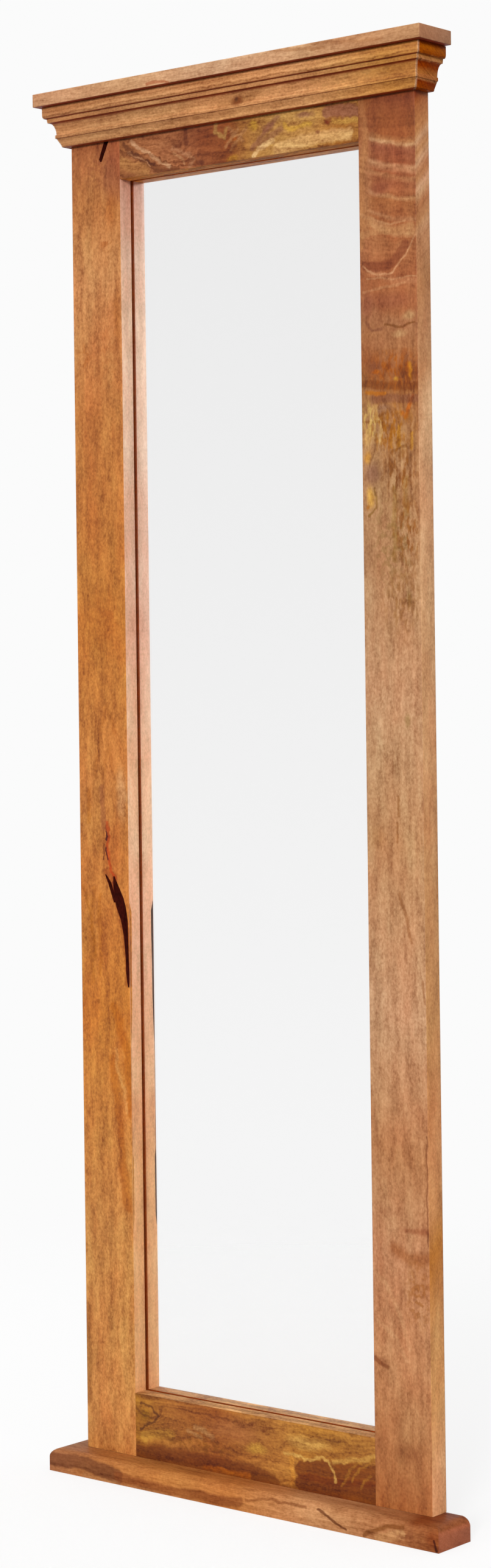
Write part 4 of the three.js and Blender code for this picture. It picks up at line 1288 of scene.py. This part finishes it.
push = add(moulding, "ShaderNodeMath", (stands, share), operation="MULTIPLY")
offset = add(moulding, "ShaderNodeVectorMath", (given["Along"], push), operation="SCALE")
mitred = add(moulding, "GeometryNodeSetPosition", {"Geometry": welded, "Offset": offset})
end_tree(moulding, mitred, given, result)

# %% [markdown]
# The section from the cap down: a fascia, an ovolo, a fillet between two small quirks, a
# cove, a ledge that steps out again, and a foot that slopes in to the frame with a rounded
# arris.

# %% The crown's section
low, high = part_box("cornice_front")
GLUE = 0.3 * MM
CROWN_REACH = 27 * MM
QUARTER_STEPS = 12


def crown_section():
    """The section's outline as (out from the frame, height) in metres."""
    outline = [(GLUE, high.z), (CROWN_REACH, high.z)]

    def step(inward, drop):
        outline.append((outline[-1][0] - inward * MM, outline[-1][1] - drop * MM))

    def quarter(inward, drop, hollow):
        p, z = outline[-1]
        for k in range(1, QUARTER_STEPS + 1):
            turn = math.pi / 2 * k / QUARTER_STEPS
            across, down = ((math.sin(turn), 1 - math.cos(turn)) if hollow
                            else (1 - math.cos(turn), math.sin(turn)))
            outline.append((p - inward * MM * across, z - drop * MM * down))

    step(0, 9.7)
    quarter(2.4, 5, False)
    step(1.8, 0)
    step(0.8, 5.4)
    step(1.2, 0)
    quarter(7, 15.6, True)
    step(-1.2, 0)
    step(0, 4.5)
    step(1.2, 0)
    step(4.6, 9)
    quarter(1.9, 2.5, False)
    outline.append((GLUE, low.z))
    return outline


section = crown_section()
print("section", len(section), "points, foot at", round(section[-2][0] / MM, 2), "mm")

# %% Crown pieces
MITRE_GAP = 0.15 * math.sqrt(2) * MM
CROWN_ARRIS = 0.35 * MM
PILOT_HOLE = [(0, -1), (2.3, -1), (2.3, 9), (0, 12.3)]


def moulded(name, corners, **sizes):
    """A run of moulding whose section has these corners."""
    return grow(name, moulding, seed_mesh(name + "_section", corners, faces=[range(len(corners))]), **sizes)


def ease(obj, radius, degrees=40):
    """Takes every arris sharper than this off obj by a small radius."""
    bm = bmesh.new()
    bm.from_mesh(obj.data)
    sharp = [e for e in bm.edges if len(e.link_faces) == 2 and e.calc_face_angle(0) > math.radians(degrees)]
    bevel(bm, sharp, radius, 2)
    bm.to_mesh(obj.data)
    bm.free()
    shade(obj.data)


start = -half_frame + MITRE_GAP
crown = moulded("crown_front", [(start, front - p, z) for p, z in section], Along=(1, 0, 0), Out=(0, -1, 0),
                Length=-2 * start, Root=-front, Middle=0.0, Start_mitre=1.0, End_mitre=1.0, Finish=crown_wood)
ease(crown, CROWN_ARRIS)
places = [(middle_of(node).x, front, middle_of(node).z) for node in nodes_named("cornice_screw")]
cut(crown, turned("crown_pilot_holes", PILOT_HOLE, places, crown_wood, "-Y"))
hand_over(crown, "frame", "mango_pale", "cornice_front")
for side, label in ((-1, "left"), (1, "right")):
    # On the right the outline is walked the other way round, so that its face looks back too.
    corners = [(side * (half_frame + p), back, z) for p, z in section][::-side]
    piece = moulded(f"crown_{label}", corners, Along=(0, -1, 0), Out=(side, 0, 0),
                    Length=back - front - MITRE_GAP, Root=half_frame, Middle=-(front + back) / 2,
                    Start_mitre=0.0, End_mitre=1.0, Finish=return_wood_painted_shade)
    ease(piece, CROWN_ARRIS)
    hand_over(piece, "frame", "mango_pale", f"cornice_{label}_return")

# %% [markdown]
# ## Looking glass and backing board
# The sheet's arrises are ground off a little. Its back face alone is silvered. Behind it lies
# a thin hardboard panel, drilled and countersunk for its screws.

# %% Looking glass and backing board
GROUND_EDGE = 0.3 * MM
looking_glass = eased_board("looking_glass", "mirror_glass", GROUND_EDGE, 1, *sheet)
for face in looking_glass.data.polygons:
    face.material_index = int(face.normal.y > 0.9)
hand_over(looking_glass, "frame", "mirror_silver", "mirror_glass")
backing_board = eased_board("backing_board", "back_panel", GROUND_EDGE, 1, hardboard)
hand_over(backing_board, "frame", "hardboard", "back_panel")

# %% [markdown]
# ## Screws
# Every screw here is a countersunk wood screw with a cross recess. One Geometry Nodes tree
# turns the blank from five stations, sinks the cross in its head, winds the thread on it and
# sets a copy at each place, each turned by a different angle as a driver leaves it.

# %% Turned bodies as a node tree
STATIONS = 5
lathe, given, result = new_group(
    "turned_body", "GeometryNodeTree",
    {"Sides": 24, **{f"{what} {k}": 0.0 for k in range(STATIONS) for what in ("Height", "Radius")}},
    {"Body": GEOMETRY})
index = add(lathe, "GeometryNodeInputIndex")
chosen = {}
for what in ("Height", "Radius"):
    chosen[what] = add(lathe, "GeometryNodeIndexSwitch", {"Index": index}, data_type="FLOAT")
    while len(chosen[what].index_switch_items) < STATIONS:
        chosen[what].index_switch_items.new()
    for k in range(STATIONS):
        feed(lathe, chosen[what].inputs[str(k)], given[f"{what} {k}"])
spine = add(lathe, "GeometryNodeCurvePrimitiveLine", {"Start": (0, 0, 0), "End": (0, 0, 1)})
spine = add(lathe, "GeometryNodeResampleCurve", {"Curve": spine, "Count": STATIONS})
place = add(lathe, "ShaderNodeCombineXYZ", {"Z": chosen["Height"]})
spine = add(lathe, "GeometryNodeSetPosition", {"Geometry": spine, "Position": place})
outline = add(lathe, "GeometryNodeCurvePrimitiveCircle", {"Resolution": given["Sides"], "Radius": 1.0})
feed(lathe, result[0], add(
    lathe, "GeometryNodeCurveToMesh",
    {"Curve": spine, "Profile Curve": outline, "Scale": chosen["Radius"], "Fill Caps": True}))


def stations(*pairs):
    """The turned body's inputs for these stations, each (height, radius)."""
    return {f"{what} {k}": size for k, pair in enumerate(pairs)
            for what, size in zip(("Height", "Radius"), pair)}


print("turned body", len(lathe.nodes), "nodes")

# %% The screw as a node tree
LAND = 0.15 * MM  # the head's thin straight rim, above its cone
TIP = 0.1 * MM
WING, BLADE, SUNK = 1.15, 0.26, 1.1  # the cross's length, width and depth, as shares of the head's
screws, given, result = new_group(
    "wood_screws", "GeometryNodeTree",
    {"Places": GEOMETRY, "Direction": VECTOR, "Head": 3 * MM, "Head depth": 1.8 * MM, "Shank": 1.5 * MM,
     "Length": 12 * MM, "Point": 3 * MM, "Pitch": 1.2 * MM, "Thread": 0.3 * MM, "Seed": 1,
     "Finish": MATERIAL},
    {"Screws": GEOMETRY})
head, head_depth, shank = given["Head"], given["Head depth"], given["Shank"]
shoulder = add(screws, "ShaderNodeMath", (given["Length"], given["Point"]), operation="SUBTRACT")
profile = stations((0.0, head), (LAND, head), (head_depth, shank), (shoulder, shank),
                   (given["Length"], TIP))
blank = add(screws, "GeometryNodeGroup", {"Sides": 28, **profile}, node_tree=lathe)
wing, blade, sunk = (add(screws, "ShaderNodeMath", sizes, operation="MULTIPLY")
                     for sizes in ((head, WING), (head, BLADE), (head_depth, SUNK)))
bars = [add(screws, "GeometryNodeMeshCube", (add(screws, "ShaderNodeCombineXYZ", sizes),))
        for sizes in ((wing, blade, sunk), (blade, wing, sunk))]
cross = add(screws, "GeometryNodeJoinGeometry", (bars,))
driven = add(screws, "GeometryNodeMeshBoolean",
             {"Mesh 1": blank, "Mesh 2": cross, "Self Intersection": True},
             operation="DIFFERENCE", solver="EXACT")
threaded = add(screws, "ShaderNodeMath", (shoulder, head_depth), operation="SUBTRACT")
turns = add(screws, "ShaderNodeMath", (threaded, given["Pitch"]), operation="DIVIDE")
helix = add(screws, "GeometryNodeCurveSpiral",
            {"Resolution": 14, "Rotations": turns, "Start Radius": shank, "End Radius": shank,
             "Height": threaded})
crest = add(screws, "GeometryNodeCurvePrimitiveCircle", {"Resolution": 3, "Radius": given["Thread"]})
ridge = add(screws, "GeometryNodeCurveToMesh", {"Curve": helix, "Profile Curve": crest, "Fill Caps": True})
start_of_thread = add(screws, "ShaderNodeCombineXYZ", {"Z": head_depth})
ridge = add(screws, "GeometryNodeTransform", {"Geometry": ridge, "Translation": start_of_thread})
screw = add(screws, "GeometryNodeJoinGeometry", ([ridge, driven],))
aimed = add(screws, "FunctionNodeAlignRotationToVector", {"Vector": given["Direction"]}, axis="Z")
angle = add(screws, "FunctionNodeRandomValue", {"Min": 0.0, "Max": math.tau, "Seed": given["Seed"]},
            data_type="FLOAT")
spin = add(screws, "FunctionNodeAxisAngleToRotation", {"Axis": (0, 0, 1), "Angle": angle})
twisted = add(screws, "FunctionNodeRotateRotation", (aimed, spin), rotation_space="LOCAL")
copies = add(screws, "GeometryNodeInstanceOnPoints",
             {"Points": given["Places"], "Instance": screw, "Rotation": twisted})
end_tree(screws, copies, given, result)

# %% Set the screws
WAYS = {"Z": (0.0, 0.0, 1.0), "-Z": (0.0, 0.0, -1.0), "-Y": (0.0, -1.0, 0.0)}
HANGER_SCREWS = [node for side in ("left", "right") for node in nodes_named(f"{side}_hanger_screw")]
sets = {
    # piece: (nodes, direction, head radius, head depth, shank, length, point, thread pitch), in mm
    "panel_screws": (nodes_named("panel_screw"), "-Y", 3, 1.8, 1.5, 12, 3, 1.3),
    "base_screws": (nodes_named("sill_screw"), "Z", 4.5, 2.8, 2.25, 55, 5, 2.4),
    "top_screws": (nodes_named("cap_screw"), "-Z", 4.5, 2.8, 2.25, 40, 5, 2.4),
    "crown_screws": (nodes_named("cornice_screw"), "-Y", 4, 2.4, 2.0, 39.6, 4, 2.0),
    "hanger_screws": (HANGER_SCREWS, "-Y", 3, 1.0, 1.6, 16, 3, 1.4),
}
THREAD_SHARE = 0.2  # how far the thread stands off the shank, by the shank's radius
for seed, (name, (nodes, way, head, depth, shank, length, point, pitch)) in enumerate(sets.items()):
    places = []
    for node in nodes:
        low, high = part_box(node)
        centre = middle_of(node)
        places.append({"-Y": (centre.x, high.y, centre.z), "Z": (centre.x, centre.y, low.z),
                       "-Z": (centre.x, centre.y, high.z)}[way])
    obj = grow(name, screws, seed_mesh(name + "_places", places), Direction=WAYS[way], Head=head * MM,
               Head_depth=depth * MM, Shank=shank * MM, Length=length * MM, Point=point * MM,
               Pitch=pitch * MM, Thread=THREAD_SHARE * shank * MM, Seed=seed, Finish=zinc)
    hand_over(obj, "frame", "zinc_steel", *nodes)

# %% [markdown]
# ## Plugs over the top screws
# A joiner hides a screw under a plug cut from the same board. The plug's edge is just eased,
# and its grain runs the board's way.

# %% Plugs
plugs, given, result = new_group(
    "screw_plugs", "GeometryNodeTree",
    {"Places": GEOMETRY, "Radius": 5 * MM, "Length": 6 * MM, "Ease": 0.3 * MM, "Finish": MATERIAL},
    {"Plugs": GEOMETRY})
slim, side_top = (add(plugs, "ShaderNodeMath", (given[size], given["Ease"]), operation="SUBTRACT")
                  for size in ("Radius", "Length"))
profile = stations((0.0, slim), (given["Ease"], given["Radius"]), (side_top, given["Radius"]),
                   (given["Length"], slim), (given["Length"], given["Ease"]))
peg = add(plugs, "GeometryNodeGroup", {"Sides": 40, **profile}, node_tree=lathe)
copies = add(plugs, "GeometryNodeInstanceOnPoints", {"Points": given["Places"], "Instance": peg})
end_tree(plugs, copies, given, result)

plug_nodes = nodes_named("cap_plug")
places = seed_mesh("plug_places", [(*middle_of(node).xy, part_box(node)[0].z) for node in plug_nodes])
screw_plugs = grow("screw_plugs", plugs, places, Radius=5 * MM, Length=6 * MM, Ease=0.3 * MM, Finish=top_wood)
hand_over(screw_plugs, "frame", "mango_pale", *plug_nodes)

# %% [markdown]
# ## Strap hangers
# A strip of steel is curled round a D-shaped ring and screwed to the back of each upright.
# The strap is the moulding tree again: its edge view, carried across its width. The ring is
# one bent wire whose ends meet inside the curl: a path that becomes a tube.

# %% Wire as a node tree
WIRE_RADIUS = 1.5 * MM
wire, given, result = new_group(
    "bent_wire", "GeometryNodeTree",
    {"Path": GEOMETRY, "Radius": WIRE_RADIUS, "Sides": 20, "Finish": MATERIAL}, {"Wire": GEOMETRY})
centre_line = add(wire, "GeometryNodeMeshToCurve", {"Mesh": given["Path"]})
outline = add(wire, "GeometryNodeCurvePrimitiveCircle",
              {"Resolution": given["Sides"], "Radius": given["Radius"]})
tube = add(wire, "GeometryNodeCurveToMesh",
           {"Curve": centre_line, "Profile Curve": outline, "Fill Caps": True})
end_tree(wire, tube, given, result)

# %% The D-ring's centre line
RING_HALF, RING_CORNER, RING_STRAIGHT, RING_REACH, WIRE_GAP = 11.5 * MM, 3.2 * MM, 3 * MM, 20 * MM, 0.25 * MM
CORNER_STEPS, BOW_STEPS = 8, 48


def arc(turn, steps, first=0):
    """Sine and cosine over an arc that starts at 0, from its first step on."""
    return [(math.sin(turn * k / steps), math.cos(turn * k / steps)) for k in range(first, steps + 1)]


def d_path(x, y, z):
    """The D-ring's centre line, round a bar along X through this place."""
    flat, bow = RING_HALF - RING_CORNER, -RING_CORNER - RING_STRAIGHT
    points = [(WIRE_GAP, 0), (flat, 0)]
    points += [(flat + RING_CORNER * s, -RING_CORNER + RING_CORNER * c)
               for s, c in arc(math.pi / 2, CORNER_STEPS, 1)]
    points += [(RING_HALF * c, bow + (RING_REACH + bow) * s) for s, c in arc(-math.pi, BOW_STEPS)]
    points += [(-flat - RING_CORNER * c, -RING_CORNER + RING_CORNER * s)
               for s, c in arc(math.pi / 2, CORNER_STEPS)]
    points += [(-WIRE_GAP, 0)]
    return [(x + u, y, z + w) for u, w in points]


print("wire path", len(d_path(0, 0, 0)), "points")

# %% Straps, rings and bumpers
METAL, CURL, TAIL, WIDTH, CURL_STEPS = 1.2 * MM, 3.0 * MM, 46 * MM, 14 * MM, 40
CURL_TURNS = [math.pi - 4 * math.pi / 3 * k / CURL_STEPS for k in range(CURL_STEPS + 1)]
STRAP_HOLE = [(0, -1), (3.2, -1), (3.2, 0.15), (1.9, 1.3), (1.9, 3), (0, 3)]
STRAP_CORNER, STRAP_ARRIS = 6 * MM, 0.15 * MM
BUMPER = [(0, 0), (6.6, 0), (6.6, 0.3), (6.8, 0.3), (7, 0.5), (7, 1.9), (6.7, 2.4)]
DOME_RADIUS, DOME_EDGE, DOME_STEPS = 4.4, 0.6, 5


def strap_piece(side):
    """One hanger's strap, and the middle of its curl."""
    low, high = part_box(f"{side}_hanger_strap")
    y, z = low.y + CURL, low.z + TAIL
    edge_view = [(low.y + METAL, low.z), (low.y, low.z)]
    edge_view += [(y + CURL * math.cos(t), z + CURL * math.sin(t)) for t in CURL_TURNS]
    edge_view += [(y + (CURL - METAL) * math.cos(t), z + (CURL - METAL) * math.sin(t))
                  for t in reversed(CURL_TURNS)]
    strap = moulded(f"{side}_strap", [(low.x, v, w) for v, w in edge_view], Along=(1, 0, 0), Out=(0, 1, 0),
                    Length=WIDTH, Root=0.0, Middle=0.0, Start_mitre=0.0, End_mitre=0.0, Finish=zinc)
    bm = bmesh.new()
    bm.from_mesh(strap.data)
    soften(bm, STRAP_CORNER, [(0, low.x), (0, high.x), (2, low.z)], 8)
    bm.to_mesh(strap.data)
    bm.free()
    ease(strap, STRAP_ARRIS, 50)
    places = [(middle_of(node).x, low.y + METAL, middle_of(node).z) for node in
              nodes_named(f"{side}_hanger_screw")]
    cut(strap, turned(f"{side}_strap_holes", STRAP_HOLE, places, zinc, "-Y"))
    return strap, ((low.x + high.x) / 2, y, z)


for side in ("left", "right"):
    strap, curl_middle = strap_piece(side)
    hand_over(strap, "frame", "zinc_steel", f"{side}_hanger_strap")
    points = d_path(*curl_middle)
    path = seed_mesh(f"{side}_ring_path", points, [(k, k + 1) for k in range(len(points) - 1)])
    ring = grow(f"{side}_ring_wire", wire, path, Radius=WIRE_RADIUS, Sides=20, Finish=zinc)
    hand_over(ring, f"{side}_ring", "zinc_steel", f"{side}_hanger_ring")

    centre = middle_of(f"{side}_wall_bumper")
    tall = (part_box(f"{side}_wall_bumper")[1].y - back) / MM
    dome = [(DOME_RADIUS + DOME_EDGE * c, tall - DOME_EDGE + DOME_EDGE * s)
            for s, c in arc(math.pi / 2, DOME_STEPS)]
    bumper = turned(f"{side}_bumper", [*BUMPER, *dome, (0, tall)], [(centre.x, back, centre.z)], rubber,
                    "Y", 40)
    hand_over(bumper, "frame", "clear_rubber", f"{side}_wall_bumper")

# %% [markdown]
# ## Floor, sky and light
# The mirror stands in a white studio. The floor is plain and pale and fades out before it
# could show an edge. It throws less light up than a white floor would, since that washes the
# undersides out, and the eye sees it glow a little, so that the long shadow behind stays
# faint. To the eye, and in the glass, the world is white, a little greyer high up; to
# everything else it is a soft fill, weak from below and stronger from above. One large soft
# key lamp stands up to the front right and draws the shadow of the top board on the crown.

# %% Floor
FLOOR_RADIUS, FADE = 2.4, (0.8, 2.2)
GLOW, GLASS_GLOW = 0.77, 0.2
floor_finish, tree = new_material("pale_studio_floor")
place = add(tree, "ShaderNodeTexCoord").outputs["Object"]
distance = add(tree, "ShaderNodeVectorMath", (place,), operation="LENGTH")
fade = add(tree, "ShaderNodeMapRange", (distance, *FADE, 1.0, 0.0), interpolation_type="SMOOTHSTEP")
rays = add(tree, "ShaderNodeLightPath").outputs
tint = add(tree, "ShaderNodeMix", (rays["Is Diffuse Ray"], linear("f2f2f2"), linear("a8a8a8")),
           data_type="RGBA")
tint = add(tree, "ShaderNodeMix", (rays["Is Camera Ray"], tint, linear("8c8c8c")), data_type="RGBA")
matt = add(tree, "ShaderNodeBsdfDiffuse", {"Color": tint})
seen = add(tree, "ShaderNodeMath", (rays["Is Glossy Ray"], rays["Is Transmission Ray"]), operation="MAXIMUM")
lift = add(tree, "ShaderNodeMath", (seen, GLASS_GLOW), operation="MULTIPLY")
lift = add(tree, "ShaderNodeMath", (rays["Is Camera Ray"], GLOW, lift), operation="MULTIPLY_ADD")
glow = add(tree, "ShaderNodeEmission", {"Color": (1, 1, 1, 1), "Strength": lift})
both = add(tree, "ShaderNodeAddShader", (matt, glow))
clear = add(tree, "ShaderNodeBsdfTransparent")
add(tree, "ShaderNodeOutputMaterial", (add(tree, "ShaderNodeMixShader", (fade, clear, both)),))

bm = bmesh.new()
bmesh.ops.create_circle(bm, cap_ends=True, radius=FLOOR_RADIUS, segments=96,
                        matrix=Matrix.Translation((0, 0, -0.2 * MM)))
floor = make("studio_floor", bm, floor_finish)
print("floor", 2 * FLOOR_RADIUS, "m across")

# %% World and lamp
KEY_FROM, KEY_STRENGTH, KEY_WIDTH = (0.42, -0.84, 0.24), 2.32, math.radians(12)
world = bpy.data.worlds.new("studio")
scene.world = world
world.use_nodes = True
tree = world.node_tree
tree.nodes.clear()
direction = add(tree, "ShaderNodeTexCoord").outputs["Generated"]
upward = add(tree, "ShaderNodeSeparateXYZ", (direction,)).outputs["Z"]
climb = add(tree, "ShaderNodeMapRange", (upward, -0.15, 0.2, 0.0, 1.0))
mirrored = add(tree, "ShaderNodeMix", (climb, linear("f6f6f6"), linear("ebebeb")), data_type="RGBA")
rays = add(tree, "ShaderNodeLightPath").outputs
bounced = add(tree, "ShaderNodeMath", (rays["Is Glossy Ray"], rays["Is Transmission Ray"]),
              operation="MAXIMUM")
sky = add(tree, "ShaderNodeMapRange", (upward, -0.5, 0.7, 0.1, 0.7))
fill = add(tree, "ShaderNodeBackground", {"Color": (1, 1, 1, 1), "Strength": sky})
studio_white = add(tree, "ShaderNodeBackground", {"Color": linear("fbfbfb"), "Strength": 1.0})
room = add(tree, "ShaderNodeBackground", {"Color": mirrored, "Strength": 1.0})
mixed = add(tree, "ShaderNodeMixShader", (bounced, fill, room))
mixed = add(tree, "ShaderNodeMixShader", (rays["Is Camera Ray"], mixed, studio_white))
add(tree, "ShaderNodeOutputWorld", (mixed,))

lamp = bpy.data.lights.new("key", "SUN")
lamp.energy, lamp.angle = KEY_STRENGTH, KEY_WIDTH
key = bpy.data.objects.new("key", lamp)
key.rotation_euler = Vector(KEY_FROM).to_track_quat("Z", "Y").to_euler()
scene.collection.objects.link(key)
print("key lamp", KEY_STRENGTH, "W/m2")
